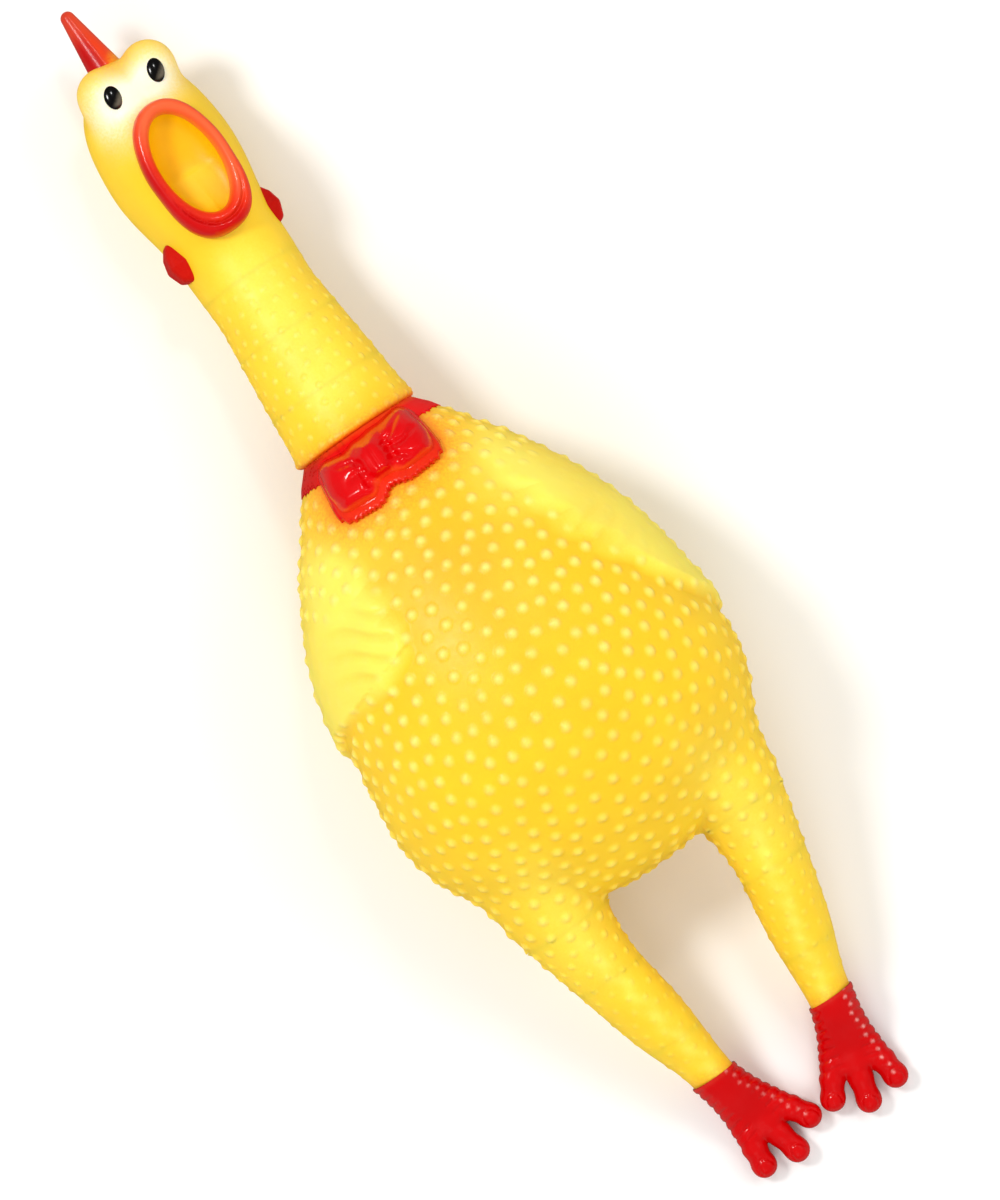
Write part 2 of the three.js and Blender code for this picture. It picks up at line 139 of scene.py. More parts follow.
# columns: squared half width, centre x, centre z, depth over width in front, depth over width behind
def loftField(p, table):
    y = p[:, 1]
    g, x0, z0, front, back = (look(table, y, i) for i in range(5))
    gd, xd, zd = (look(table, y, i, True) for i in range(3))
    dx = p[:, 0] - x0
    dz = p[:, 2] - z0
    ratio = np.where(dz > 0, front, back)
    f = dx * dx + (dz / ratio) ** 2 - g
    fx, fz = 2 * dx, 2 * dz / ratio ** 2
    fy = -gd - fx * xd - fz * zd
    outside = np.maximum(table["y"][0] - y, 0) + np.maximum(y - table["y"][-1], 0)
    return f / np.sqrt(fx * fx + fy * fy + fz * fz + 4) + outside


# torso
torsoShape = {
    "legBlend": 4.5,      # how softly a leg grows out of the body on its outer side
    "creaseBlend": 1.0,   # and on its inner side, where the rump makes a crease
}


def makeTorsoTable():
    # y from the collar's lower edge, half width, lowest and highest point, height of the widest line
    rows = [
        (8.0, 12.5, 14.5, 38.5, 26.5), (4.5, 15.6, 11.2, 41.8, 26.5), (0.0, 19.6, 7.6, 45.4, 26.8),
        (-5.0, 23.0, 5.0, 47.8, 27.0), (-11.5, 26.9, 3.0, 50.6, 27.4), (-24.5, 33.8, 0.8, 56.8, 28.6),
        (-37.0, 38.6, -0.2, 61.6, 29.8), (-46.0, 40.8, -0.6, 64.2, 30.4), (-60.0, 43.0, -0.9, 66.2, 30.8),
        (-77.0, 44.5, -0.7, 64.4, 30.2), (-90.0, 41.2, 0.8, 58.0, 28.8), (-100.0, 34.4, 4.5, 49.5, 27.2),
        (-106.0, 27.5, 8.0, 42.5, 25.8),
    ]
    out = []
    for y, w, low, high, centre in rows:
        out.append((collarY + y, w * w, 0.0, centre, (high - centre) / w, (centre - low) / w))
    last = out[-1]
    for drop, g in ((3.9, 330.0), (6.2, -20.0), (12.0, -1000.0)):
        out.append((last[0] - drop, g, 0.0, 25.4, last[4], last[5]))
    return splineTable(out)


torsoTable = makeTorsoTable()


# wings: a leaf in relief on each flank, drawn as (turn from the front in degrees, distance below the collar)
wingShape = {
    "relief": 2.3, "featherPitch": 5.2, "featherDepth": 0.6, "arcRadius": 40.0, "edgeRound": 2.5,
    "lobePitch": 8.6, "lobeDepth": 1.9,
    "smoothFrom": {-1: (-20, -27), 1: (-12, -24)},    # no pimples below this line
    "length": {-1: 1.0, 1: 1.42},      # the chicken's left wing is the longer one
    "outline": {
        -1: [(50, -13), (38, -20), (31, -30), (32, -39), (45, -43), (62, -44), (84, -46), (104, -54),
             (122, -64), (134, -66), (136, -52), (132, -34), (118, -18), (92, -9), (68, -8)],
        1: [(50, -13), (46, -21), (47, -30), (49, -39), (57, -48), (67, -57), (77, -64), (92, -69),
            (108, -74), (124, -77), (133, -70), (133, -52), (126, -34), (112, -18), (90, -9), (68, -8)],
    },
}


def polygonField(x, y, corners):
    best = np.full(len(x), 1e9)
    inside = np.zeros(len(x), bool)
    for (ax, ay), (bx, by) in zip(corners, corners[1:] + corners[:1]):
        ex, ey = bx - ax, by - ay
        t = np.clip(((x - ax) * ex + (y - ay) * ey) / (ex * ex + ey * ey), 0, 1)
        best = np.minimum(best, (x - ax - t * ex) ** 2 + (y - ay - t * ey) ** 2)
        crosses = (ay > y) != (by > y)
        with np.errstate(divide="ignore", invalid="ignore"):
            inside ^= crosses & (x < ax + (y - ay) * ex / (ey if ey else 1e-9))
    return np.sqrt(best) * np.where(inside, -1, 1)


# distance to the wing's outline over the skin, less than 0 inside, with the way round and along it
def wingLeaf(p, side):
    y = p[:, 1] - collarY
    centre = look(torsoTable, p[:, 1], 2)
    radius = wingShape["arcRadius"]
    arc = np.degrees(np.arctan2(side * p[:, 0], p[:, 2] - centre)) * math.radians(radius)
    corners = [(math.radians(turn) * radius, fall) for turn, fall in wingShape["outline"][side]]
    lobe = np.abs(np.sin((y + 0.25 * arc) * math.pi / wingShape["lobePitch"])) - 0.6
    front = smoothStep(48, 38, arc) * smoothStep(-16, -24, y)
    leaf = polygonField(arc, y, corners) - wingShape["edgeRound"]
    return leaf - wingShape["lobeDepth"] * lobe * front, arc, y


# height of a folded wing: thin at the shoulder, thick at its lower edge, grooved between its feathers
def wingRelief(p):
    out = np.zeros(len(p))
    for side in (1, -1):
        near = (side * p[:, 0] > 8) & (p[:, 1] < collarY) & (p[:, 1] > collarY - 110) & (p[:, 2] > 4)
        if not near.any():
            continue
        leaf, arc, y = wingLeaf(p[near], side)
        grow = 1 / wingShape["length"][side]
        low = smoothStep(-30, -40, y * grow)
        rise = smoothStep(1.8 - 0.8 * low, -6.5 + 4.2 * low, leaf)
        rise *= 0.35 + 0.65 * smoothStep(-4, -38, y * grow)
        wave = (y - 0.4 * arc + 0.8 * np.sin(arc * 0.31)) * 2 * math.pi / wingShape["featherPitch"]
        groove = (0.5 - 0.5 * np.cos(wave)) ** 2
        rows = smoothStep(-23, -29, y * grow) * smoothStep(-1, -5, leaf) * smoothStep(50, 34, arc)
        rise += 0.3 * smoothStep(0, -6, leaf) * np.exp(-((y * grow + 20) / 5) ** 2 - ((arc - 38) / 9) ** 2)
        out[near] = wingShape["relief"] * rise - wingShape["featherDepth"] * groove * rows
    return out


def torsoField(p):
    return loftField(p, torsoTable)


# legs
legDepth = 1.05    # depth over width


def makeLegTable(side):
    top, foot = hipX, ankleX
    # y from the hip line, share of the way across from ankle to hip, half width, height
    rows = [
        (30.0, 0.55, 12.5, 28.5), (16.0, 0.84, 13.2, 27.8), (6.0, 0.98, 12.2, 26.6),
        (0.0, 1.0, 10.7, 25.2), (-10.0, 0.91, 8.9, 22.4), (-24.0, 0.57, 8.0, 18.4),
        (-34.0, 0.33, 7.0, 15.3), (-42.0, 0.12, 5.7, 12.4), (-47.5, 0.0, 5.25, 10.6), (-53.0, -0.1, 5.3, 8.9),
    ]
    out = []
    for y, share, w, z in rows:
        x = side * (foot + (top - foot) * share)
        out.append((hipY + y, w * w, x, z, legDepth, legDepth))
    return splineTable(out)


legTables = {side: makeLegTable(side) for side in (1, -1)}


def legField(p, side):
    return smoothMax(loftField(p, legTables[side]), p[:, 1] - hipY - 26, 4)


# neck
def makeNeckTable():
    length = neckTopY - collarTopY
    rows = []
    # share of the way from the collar to the head, half width
    for share, w in ((-0.1, 16.1), (0.0, 15.85), (0.06, 15.4), (0.25, 14.5), (0.5, 13.5), (0.75, 12.4),
                     (1.0, 11.4), (1.2, 11.2), (1.5, 10.0)):
        y = collarTopY + share * length
        z = collarAxisZ + (headAxisZ + 1 - collarAxisZ) * min(share, 1.15)
        rows.append((y, w * w, 0.0, z, 1.0, 1.0))
    return splineTable(rows)


neckTable = makeNeckTable()


def neckField(p):
    body = loftField(p, neckTable)
    return smoothMax(body, collarTopY - p[:, 1], 1.6)


# head, in its own turned axes: x across, y from the neck's top, z from the head's axis
headShape = {
    "turn": math.radians(12), "depth": 1.06,
    "browX": 6.0, "browShift": 0.6, "browY": 49.1, "browZ": 7.2, "browRadius": 6.2,
    "muzzleHeight": 7.5, "muzzleRadii": (11.7, 19.4, 9.9),
    "combRoot": (-0.8, 51.0, -2.0), "combRootRadii": (4.6, 4.6, 10.0),
}
eyeShape = {
    "across": 5.8, "along": 47.0, "shift": 0.5,
    "radii": (2.05, 3.0, 1.1), "tilt": 0.19, "splay": 0.06, "step": 0.26,
}
mouthShape = {"y": 24.9, "halfWidth": 7.3, "halfLength": 13.0, "floor": 10.5, "rim": 17.0}


def toHead(p):
    c, s = math.cos(headShape["turn"]), math.sin(headShape["turn"])
    x, z = p[:, 0], p[:, 2] - headAxisZ
    return np.column_stack([c * x - s * z, p[:, 1] - neckTopY, s * x + c * z])


def fromHead(q):
    c, s = math.cos(headShape["turn"]), math.sin(headShape["turn"])
    x, z = q[:, 0], q[:, 2]
    return np.column_stack([c * x + s * z, q[:, 1] + neckTopY, -s * x + c * z + headAxisZ])


def makeHeadTable():
    # y from the neck's top, half width, height; the last two rows close the crown
    rows = [
        (-8.0, 9.0, 0.8), (0.0, 11.3, 0.8), (6.0, 11.7, 0.5), (12.4, 12.7, 0.2), (19.0, 14.4, 0.0),
        (27.0, 15.5, -0.2), (35.0, 15.1, -0.2), (42.0, 13.8, -0.3), (47.0, 11.7, -0.4), (50.5, 8.4, -0.4),
    ]
    deep = headShape["depth"]
    out = [(y, w * w, 0.0, z, deep, deep) for y, w, z in rows]
    out += [(52.4, 0.0, 0.0, -0.4, deep, deep), (58.0, -420.0, 0.0, -0.4, deep, deep)]
    return splineTable(out)


headTable = makeHeadTable()


# an oval bowl that opens to the front
def mouthField(q):
    depth = mouthShape["rim"] - mouthShape["floor"]
    down = np.minimum(q[:, 2] - mouthShape["rim"], 0) / depth
    u = q[:, 0] / mouthShape["halfWidth"]
    v = (q[:, 1] - mouthShape["y"]) / mouthShape["halfLength"]
    r = np.sqrt(u ** 2 + v ** 2 + np.abs(down) ** 3)
    fuller = 0.5 * np.maximum(u, 0) * np.maximum(-v, 0) * smoothStep(1.5, 0.9, r)    # towards its lower left
    return (r - 1 - fuller) * mouthShape["halfWidth"]


def browPlace(side):
    x = side * headShape["browX"] + headShape["browShift"]
    return np.array([x, headShape["browY"], headShape["browZ"]])


# on the bulge, a little proud of it
def eyePlace(side):
    place = np.array([side * eyeShape["across"] + eyeShape["shift"], eyeShape["along"], headShape["browZ"]])
    flat = ((place - browPlace(side)) ** 2)[:2].sum()
    place[2] += math.sqrt(headShape["browRadius"] ** 2 - flat) - 0.15
    return place


# the head with its brow bulges and muzzle, before the mouth is opened
def headSolid(q):
    d = loftField(q, headTable)
    for side in (1, -1):
        d = smoothMin(d, np.linalg.norm(q - browPlace(side), axis=1) - headShape["browRadius"], 4.0)
    centre = np.array([0, mouthShape["y"] - 1.2, headShape["muzzleHeight"]])
    muzzle = ellipsoidField(q, centre, np.array(headShape["muzzleRadii"]))
    d = smoothMin(d, muzzle, 4.0)
    combRoot = ellipsoidField(q, np.array(headShape["combRoot"]), np.array(headShape["combRootRadii"]))
    return smoothMin(d, combRoot, 3.0)


def headField(q):
    return smoothMax(headSolid(q), -mouthField(q), 1.2)


def skinField(p):
    d = torsoField(p) - wingRelief(p)
    soft, sharp = torsoShape["legBlend"], torsoShape["creaseBlend"]
    inner = smoothStep(hipX - 3, hipX - 9, np.abs(p[:, 0])) * smoothStep(hipY + 22, hipY + 8, p[:, 1])
    for side in (1, -1):
        d = smoothMin(d, legField(p, side), soft + (sharp - soft) * inner)
    upper = p[:, 1] > collarY - 12
    if upper.any():
        u = p[upper]
        neck = np.minimum(smoothMin(neckField(u), headField(toHead(u)), 5.0), 1e3)
        d[upper] = smoothMin(d[upper], neck, 0.7)
    return smoothMax(d, -p[:, 2], 0.5)


# meshing: surface nets, with one vertex in each cell that the surface crosses
def netMesh(field, low, high, step):
    low, high = np.array(low, float), np.array(high, float)
    counts = np.ceil((high - low) / step).astype(int) + 1
    xs, ys, zs = (low[i] + step * np.arange(counts[i]) for i in range(3))
    grid = np.empty(counts, np.float32)
    slab = max(1, 400000 // (counts[0] * counts[2]))
    for j in range(0, counts[1], slab):
        part = ys[j:j + slab]
        mesh = np.stack(np.meshgrid(xs, part, zs, indexing="ij"), axis=-1).reshape(-1, 3)
        grid[:, j:j + slab, :] = field(mesh).reshape(counts[0], len(part), counts[2])
    inside = grid < 0
    corners = [(i, j, k) for i in (0, 1) for j in (0, 1) for k in (0, 1)]
    total = np.zeros(counts - 1, np.int8)
    for i, j, k in corners:
        total += inside[i:counts[0] - 1 + i, j:counts[1] - 1 + j, k:counts[2] - 1 + k]
    active = (total > 0) & (total < 8)
    cells = np.argwhere(active)
    index = np.full(counts - 1, -1, np.int64)
    index[active] = np.arange(len(cells))
    place = np.zeros((len(cells), 3))
    hits = np.zeros(len(cells))
    for a in corners:
        for axis in range(3):
            if a[axis]:
                continue
            b = list(a)
            b[axis] = 1
            va = grid[tuple((cells + a).T)]
            vb = grid[tuple((cells + b).T)]
            cross = (va < 0) != (vb < 0)
            t = np.where(cross, va / np.where(cross, va - vb, 1), 0)
            point = np.array(a, float) + t[:, None] * (np.array(b) - np.array(a))
            place += point * cross[:, None]
            hits += cross
    vertices = low + step * (cells + place / hits[:, None])
    faces = []
    for axis in range(3):
        u, w = (axis + 1) % 3, (axis + 2) % 3
        first = [slice(1, c - 1) for c in counts]
        first[axis] = slice(0, counts[axis] - 1)
        second = list(first)
        second[axis] = slice(1, counts[axis])
        a, b = inside[tuple(first)], inside[tuple(second)]
        start = np.array([s.start for s in first])
        for flag in (True, False):
            edges = np.argwhere((a != b) & (a == flag)) + start
            du, dw = np.zeros(3, int), np.zeros(3, int)
            du[u], dw[w] = 1, 1
            ring = [edges, edges - du, edges - du - dw, edges - dw]
            if not flag:
                ring.reverse()
            faces.append(np.column_stack([index[tuple(r.T)] for r in ring]))
    return vertices, np.concatenate(faces)


def gradient(field, p, h=0.05):
    k = np.array([[1, -1, -1], [-1, -1, 1], [-1, 1, -1], [1, 1, 1]], float)
    total = np.zeros_like(p)
    for corner in k:
        total += corner * field(p + h * corner)[:, None]
    return total / (4 * h)


# moves points onto the surface; those in keepY stay in their plane across y
def settle(field, p, rounds=2, keepY=None):
    p = p.copy()
    for _ in range(rounds):
        g = gradient(field, p)
        if keepY is not None:
            g[keepY, 1] = 0
        size = np.maximum((g * g).sum(axis=1), 0.05)
        step = field(p) / size
        p -= np.clip(step, -1.5, 1.5)[:, None] * g
    return p


def newMesh(name, vertices, faces):
    mesh = bpy.data.meshes.new(name)
    mesh.from_pydata(np.asarray(vertices).tolist(), [], np.asarray(faces).tolist() if len(faces) else [])
    mesh.update()
    return mesh


def meshPoints(mesh):
    out = np.empty(len(mesh.vertices) * 3, np.float32)
    mesh.vertices.foreach_get("co", out)
    return out.reshape(-1, 3).astype(float)


# the stretch of a mesh between two planes across y, and on one side of x = 0 where asked
def cutSlice(source, lowY, highY, sideX=0):
    bm = bmesh.new()
    bm.from_mesh(source)
    cuts = []
    if lowY is not None:
        cuts.append(((0, lowY, 0), (0, -1, 0)))
    if highY is not None:
        cuts.append(((0, highY, 0), (0, 1, 0)))
    if sideX:
        cuts.append(((0, 0, 0), (-sideX, 0, 0)))
    for place, normal in cuts:
        parts = bm.verts[:] + bm.edges[:] + bm.faces[:]
        bmesh.ops.bisect_plane(bm, geom=parts, plane_co=place, plane_no=normal, clear_outer=True, dist=1e-4)
    mesh = bpy.data.meshes.new("slice")
    bm.to_mesh(mesh)
    bm.free()
    return mesh


# one round of Catmull-Clark
def refine(mesh):
    obj = bpy.data.objects.new("refineTemp", mesh)
    bpy.context.scene.collection.objects.link(obj)
    modifier = obj.modifiers.new("round", "SUBSURF")
    modifier.levels = modifier.render_levels = 1
    modifier.boundary_smooth = "ALL"
    graph = bpy.context.evaluated_depsgraph_get()
    out = bpy.data.meshes.new_from_object(obj.evaluated_get(graph))
    bpy.data.objects.remove(obj)
    return out


def boundaryMask(mesh):
    counts = np.zeros(len(mesh.edges), int)
    loops = np.empty(len(mesh.loops), np.int64)
    mesh.loops.foreach_get("edge_index", loops)
    np.add.at(counts, loops, 1)
    ends = np.empty(len(mesh.edges) * 2, np.int64)
    mesh.edges.foreach_get("vertices", ends)
    mask = np.zeros(len(mesh.vertices), bool)
    mask[ends.reshape(-1, 2)[counts == 1].ravel()] = True
    return mask


def addAttribute(mesh, name, values):
    values = np.asarray(values, np.float32)
    if values.ndim == 2:
        mesh.attributes.new(name, "FLOAT_VECTOR", "POINT").data.foreach_set("vector", values.ravel())
    else:
        mesh.attributes.new(name, "FLOAT", "POINT").data.foreach_set("value", values)


# sets places, caps the open ends, keeps the smooth normals and makes the object, in metres
def finishPiece(name, mesh, points, normals, material, attributes):
    mesh.vertices.foreach_set("co", (points * mm).astype(np.float32).ravel())
    mesh.update()
    bm = bmesh.new()
    bm.from_mesh(mesh)
    edges = [e for e in bm.edges if e.is_boundary]
    if edges:
        bmesh.ops.holes_fill(bm, edges=edges, sides=0)
        bm.normal_update()
    bm.to_mesh(mesh)
    bm.free()
    mesh.shade_smooth()
    addAttribute(mesh, "restPlace", points)
    for key, values in attributes.items():
        addAttribute(mesh, key, values)
    mesh.normals_split_custom_set_from_vertices(normals.astype(np.float32))
    mesh.name = name
    mesh.materials.clear()
    mesh.materials.append(material)
    obj = bpy.data.objects.new(name, mesh)
    bpy.context.scene.collection.objects.link(obj)
    return obj


# a closed piece with its own surface
def bodyPiece(name, field, low, high, step, material, attributes=None, topY=None):
    vertices, faces = netMesh(field, low, high, step)
    vertices = settle(field, vertices, 2)
    mesh = newMesh(name, vertices, faces)
    if topY is not None:
        mesh = cutSlice(mesh, None, topY)
        vertices = meshPoints(mesh)
    normals = gradient(field, vertices, 0.08)
    normals /= np.linalg.norm(normals, axis=1)[:, None] + 1e-9
    extra = attributes(vertices) if attributes else {}
    print(name, len(mesh.polygons), "faces")
    return finishPiece(name, mesh, vertices, normals, material, extra)


# the moulded pimples
pimpleShape = {
    "spacing": 3.9, "slimSpacing": 3.1,    # how far apart, on the body and on the neck and legs
    "radius": 1.72, "slimRadius": 1.05, "height": 0.7,
    "onNeck": 0.62, "downLegs": 0.45,      # share of their height left there
    "seed": 7, "relaxRounds": 3,
}


# how far the pimples stand up: full on the torso, lower on the neck and down the legs, none on the head
def pimpleStrength(p):
    y = p[:, 1]
    out = np.ones(len(p))
    out *= np.where(y > collarTopY, pimpleShape["onNeck"] * smoothStep(neckTopY + 2, neckTopY - 12, y), 1)
    out *= np.where(y < collarTopY, smoothStep(collarTopY - 5.5, collarTopY - 8, y), 1)
    out *= pimpleShape["downLegs"] + (1 - pimpleShape["downLegs"]) * smoothStep(ankleY + 14, hipY - 2, y)
    out *= smoothStep(ankleY + 0.5, ankleY + 6, y)
    out *= smoothStep(0.6, 3.0, p[:, 2])
    for side in (1, -1):
        near = (side * p[:, 0] > 8) & (y < collarY - 12) & (y > collarY - 75)
        if near.any():
            leaf, arc, fall = wingLeaf(p[near], side)
            tip = smoothStep(0, -3, leaf) * smoothStep(*wingShape["smoothFrom"][side], fall)
            out[near] *= 1 - 0.92 * tip * smoothStep(66, 52, arc)
    onFront = p[:, 2] > collarAxisZ
    return out * np.where(onFront & (y < collarTopY), smoothStep(1.6, 3.4, bowDistance(p)), 1)


# 1 on the neck and legs, where the pimples are smaller and closer together
def slimness(p):
    y = p[:, 1]
    return np.maximum(smoothStep(collarY, collarTopY, y), smoothStep(hipY + 6, hipY - 14, y))


# evenly crowded places on the skin, each with its own height
def scatterPimples(points):
    rng = np.random.default_rng(pimpleShape["seed"])
    usable = points[pimpleStrength(points) > 0.02]
    order = rng.permutation(len(usable))
    cell = pimpleShape["spacing"]
    apart = (cell + (pimpleShape["slimSpacing"] - cell) * slimness(usable)) ** 2
    taken, chosen = {}, []
    for i in order:
        place = usable[i]
        key = tuple((place // cell).astype(int))
        clear = True
        for dx in (-1, 0, 1):
            for dy in (-1, 0, 1):
                for dz in (-1, 0, 1):
                    for other in taken.get((key[0] + dx, key[1] + dy, key[2] + dz), ()):
                        if ((place - other) ** 2).sum() < apart[i]:
                            clear = False
        if clear:
            taken.setdefault(key, []).append(place)
            chosen.append(place)
    centres = np.array(chosen)
    for _ in range(pimpleShape["relaxRounds"]):
        owner = nearest(centres, usable)[0]
        sums = np.zeros_like(centres)
        counts = np.zeros(len(centres))
        np.add.at(sums, owner, usable)
        np.add.at(counts, owner, 1)
        centres = settle(skinField, sums / np.maximum(counts, 1)[:, None], 2)
    return centres, rng.uniform(0.72, 1.15, len(centres))


def nearest(centres, points):
    tree = kdtree.KDTree(len(centres))
    for i, c in enumerate(centres):
        tree.insert(c, i)
    tree.balance()
    found = [tree.find(p) for p in points]
    return np.array([f[1] for f in found]), np.array([f[2] for f in found])


# the fine skin: points on the surface, then pimples, with their normals and the mask that colours them
def skinSurface(mesh, centres, heights, keepY=True):
    mask = boundaryMask(mesh)
    base = settle(skinField, meshPoints(mesh), 3, mask if keepY else None)
    g = gradient(skinField, base, 0.15)
    n = g / (np.linalg.norm(g, axis=1)[:, None] + 1e-9)
    owner, distance = nearest(centres, base)
    strength = pimpleStrength(base)
    r = pimpleShape["radius"] + (pimpleShape["slimRadius"] - pimpleShape["radius"]) * slimness(centres)[owner]
    tall = pimpleShape["height"] * heights[owner] * strength * (1 - 0.34 * slimness(base))
    share = np.clip(distance / r, 0, 1)
    bump = (1 - share * share) ** 2
    slope = np.where(share < 1, -4 * share * (1 - share * share) / r, 0) * tall
    away = (base - centres[owner]) / (distance[:, None] + 1e-6)
    away -= (away * n).sum(axis=1)[:, None] * n
    points = base + n * (tall * bump)[:, None] * np.where(mask, 0, 1)[:, None]
    normals = n - away * slope[:, None]
    normals /= np.linalg.norm(normals, axis=1)[:, None]
    paler = smoothStep(1.02, 0.2, share) * np.minimum(1, heights[owner]) * np.minimum(1, strength * 1.6)
    onRump = smoothStep(collarY - 50, collarY - 92, base[:, 1])
    return base, points, normals, paler * (0.9 - 0.5 * slimness(base)) * (1 - 0.45 * onRump)


# where the colours change on the skin
def bowDistance(p):
    return bowOutline(p[:, 0], p[:, 1])


# the pale lemon highlight mask built here is painted highlight: lighter patches on the shoulders, the neck's
# front, the hips, the raised wings and in streaks down the legs
def skinMasks(p, pimple):
    q = toHead(p)
    x, y, z = p.T
    front = smoothStep(-0.1, 0.75, (z - look(torsoTable, y, 2)) / 30)
    chest = np.exp(-(x / 24) ** 2 - ((y - 4) / 24) ** 2) * front
    belly = 0.35 * np.exp(-((x - 4) / 30) ** 2 - ((y + 34) / 28) ** 2) * front
    paintedHighlight = 0.8 * np.exp(-((np.abs(x) - 23) / 8) ** 2 - ((y - 16) / 11) ** 2) * front
    neckFront = smoothStep(collarTopY, collarTopY + 12, y) * smoothStep(12, 24, z)
    paintedHighlight += 0.6 * np.exp(-((x - 1) / 8) ** 2) * neckFront
    paintedHighlight += 0.5 * np.exp(-((np.abs(x) - 24) / 7) ** 2 - ((y - hipY - 2) / 16) ** 2) * smoothStep(18, 34, z)
    wings = np.clip(wingRelief(p) / wingShape["relief"], 0, 1)
    paintedHighlight += 0.9 * wings * smoothStep(-25, 5, z - look(torsoTable, y, 2))
    paintedHighlight *= smoothStep(neckTopY + 12, neckTopY - 4, y)
    legLine, legHeight = look(legTables[1], y, 1), look(legTables[1], y, 2)
    highlightStreak = np.exp(-((np.abs(x) - legLine + 1.0) / 1.9) ** 2)    # a painted highlight streak down each leg, broken up along the leg
    highlightStreak *= 0.6 + 0.4 * np.sin(y * 0.9) * np.sin(y * 0.37 + x)
    paintedHighlight += (0.1 + 0.7 * highlightStreak) * smoothStep(hipY + 4, hipY - 12, y) * smoothStep(0, 3, z - legHeight)
    onHead = smoothStep(neckTopY + 2, neckTopY + 14, y)
    cream = np.exp(-((np.abs(q[:, 0]) - 5.4) / 5.6) ** 2 - ((q[:, 1] - 46.2) / 5.4) ** 2)
    cream += 0.8 * np.exp(-(q[:, 0] / 6) ** 2 - ((q[:, 1] - 45) / 4) ** 2)
    cream += 0.3 * np.exp(-((q[:, 0] + 9) / 3.6) ** 2 - ((q[:, 1] - 41) / 6) ** 2)
    cream = np.clip(cream, 0, 1) * smoothStep(2, 9, q[:, 2]) * onHead
    blush = np.exp(-np.maximum(bowDistance(p), 0) / 3.2) * smoothStep(collarAxisZ, collarAxisZ + 12, z)
    blush *= smoothStep(collarTopY + 2, collarTopY - 2, y)
    blush = np.maximum(blush, np.exp(-np.abs(y - collarTopY) / 1.3) * 0.9)
    mouth = onHead * smoothStep(0.7, 0.1, np.abs(mouthField(q))) * smoothStep(17.5, 16, q[:, 2])
    comb = np.exp(-(q[:, 0] / 5.5) ** 2 - ((q[:, 1] - 54.5) / 4.0) ** 2)
    comb *= onHead * smoothStep(-16, -8, q[:, 2])
    ankle = smoothStep(ankleY + 4.5, ankleY - 0.5, y)
    blush = np.maximum(np.maximum(blush, 0.3 * ankle), 0.25 * comb)
    return {
        "pimple": pimple, "warm": np.clip(chest + belly, 0, 1), "paintedHighlight": np.clip(paintedHighlight, 0, 1),
        "cream": cream, "blush": np.clip(blush, 0, 1), "mouth": mouth,
    }


# collar and bow tie
collarShape = {"halfThick": 0.42, "toothDepth": 0.22, "teeth": 58, "step": 0.55}
bowShape = {
    "middle": collarTopY - 8.2, "halfWidth": 13.6, "halfLength": 7.2, "rise": 3.4, "corner": 3.4,
    "toothDepth": 0.22, "teeth": 4.9, "step": 0.34, "baseStep": 0.36,
}


def roundBox(x, y, halfX, halfY, corner):
    dx, dy = np.abs(x) - halfX + corner, np.abs(y) - halfY + corner
    return np.hypot(np.maximum(dx, 0), np.maximum(dy, 0)) + np.minimum(np.maximum(dx, dy), 0) - corner


def bowOutline(x, y):
    out = None
    for side in (1, -1):
        tilt = side * math.radians(7)
        cx = side * 7.2
        cy = bowShape["middle"] + (0.5 if side > 0 else -0.6)
        u = (x - cx) * math.cos(tilt) + (y - cy) * math.sin(tilt)
        v = -(x - cx) * math.sin(tilt) + (y - cy) * math.cos(tilt)
        loop = roundBox(u, v, 6.2, bowShape["halfLength"] - 0.2 + 0.05 * side * u, bowShape["corner"])
        out = loop if out is None else smoothMin(out, loop, 2.4)
    knot = roundBox(x, y - bowShape["middle"] - 0.8, 3.8, 6.0, 2.4)
    return smoothMin(out, knot, 2.6)


bowPleats = [  # side, angle, depth, half width, where it starts and ends from the knot
    (1, 0.1, 0.6, 0.8, 3.8, 11.0), (1, 0.52, 0.5, 0.7, 3.6, 11.5), (1, -0.42, 0.55, 0.8, 3.4, 8.0),
    (-1, 0.42, 0.5, 0.8, 3.4, 8.5), (-1, -0.1, 0.35, 0.9, 3.4, 7.0), (-1, -0.62, 0.3, 0.8, 3.4, 6.5),
]


# pleats that run out from the knot across each loop
def creaseSum(x, y):
    total = np.zeros(len(x))
    for side, angle, strong, wide, start, end in bowPleats:
        u = side * x * math.cos(angle) + (y - bowShape["middle"]) * math.sin(angle)
        v = -side * x * math.sin(angle) + (y - bowShape["middle"]) * math.cos(angle)
        v = v + 0.25 * np.sin(u * 0.9 + side + 2 * angle)
        reach = smoothStep(start - 1.5, start + 0.6, u) * smoothStep(end + 2, end - 1, u)
        total += strong * np.exp(-(v / wide) ** 2) * reach
    return total


def bowTopField(p):
    above = torsoField(p)
    outline = bowOutline(p[:, 0], p[:, 1])
    knot = roundBox(p[:, 0], p[:, 1] - bowShape["middle"] - 0.4, 2.9, 4.4, 2.2)
    pillow = 0.8 * smoothStep(0.5, -4.5, outline) - 0.6 * np.exp(-((np.abs(p[:, 0]) - 4.2) / 1.0) ** 2)
    knotCrease = 0.35 * np.exp(-(p[:, 0] / 0.5) ** 2) * smoothStep(1, -1, knot)
    knotRise = 0.9 * smoothStep(0.8, -1.2, knot) - knotCrease
    top = bowShape["rise"] + pillow + knotRise - creaseSum(p[:, 0], p[:, 1])
    fromMiddle = p[:, 1] - bowShape["middle"]
    lean = 0.25 + 0.4 * smoothStep(-0.5, -4, fromMiddle) + 0.15 * smoothStep(1, 4.5, fromMiddle)
    return np.maximum(smoothMax(outline + lean * above, above - top, 1.5), -above - 0.3)


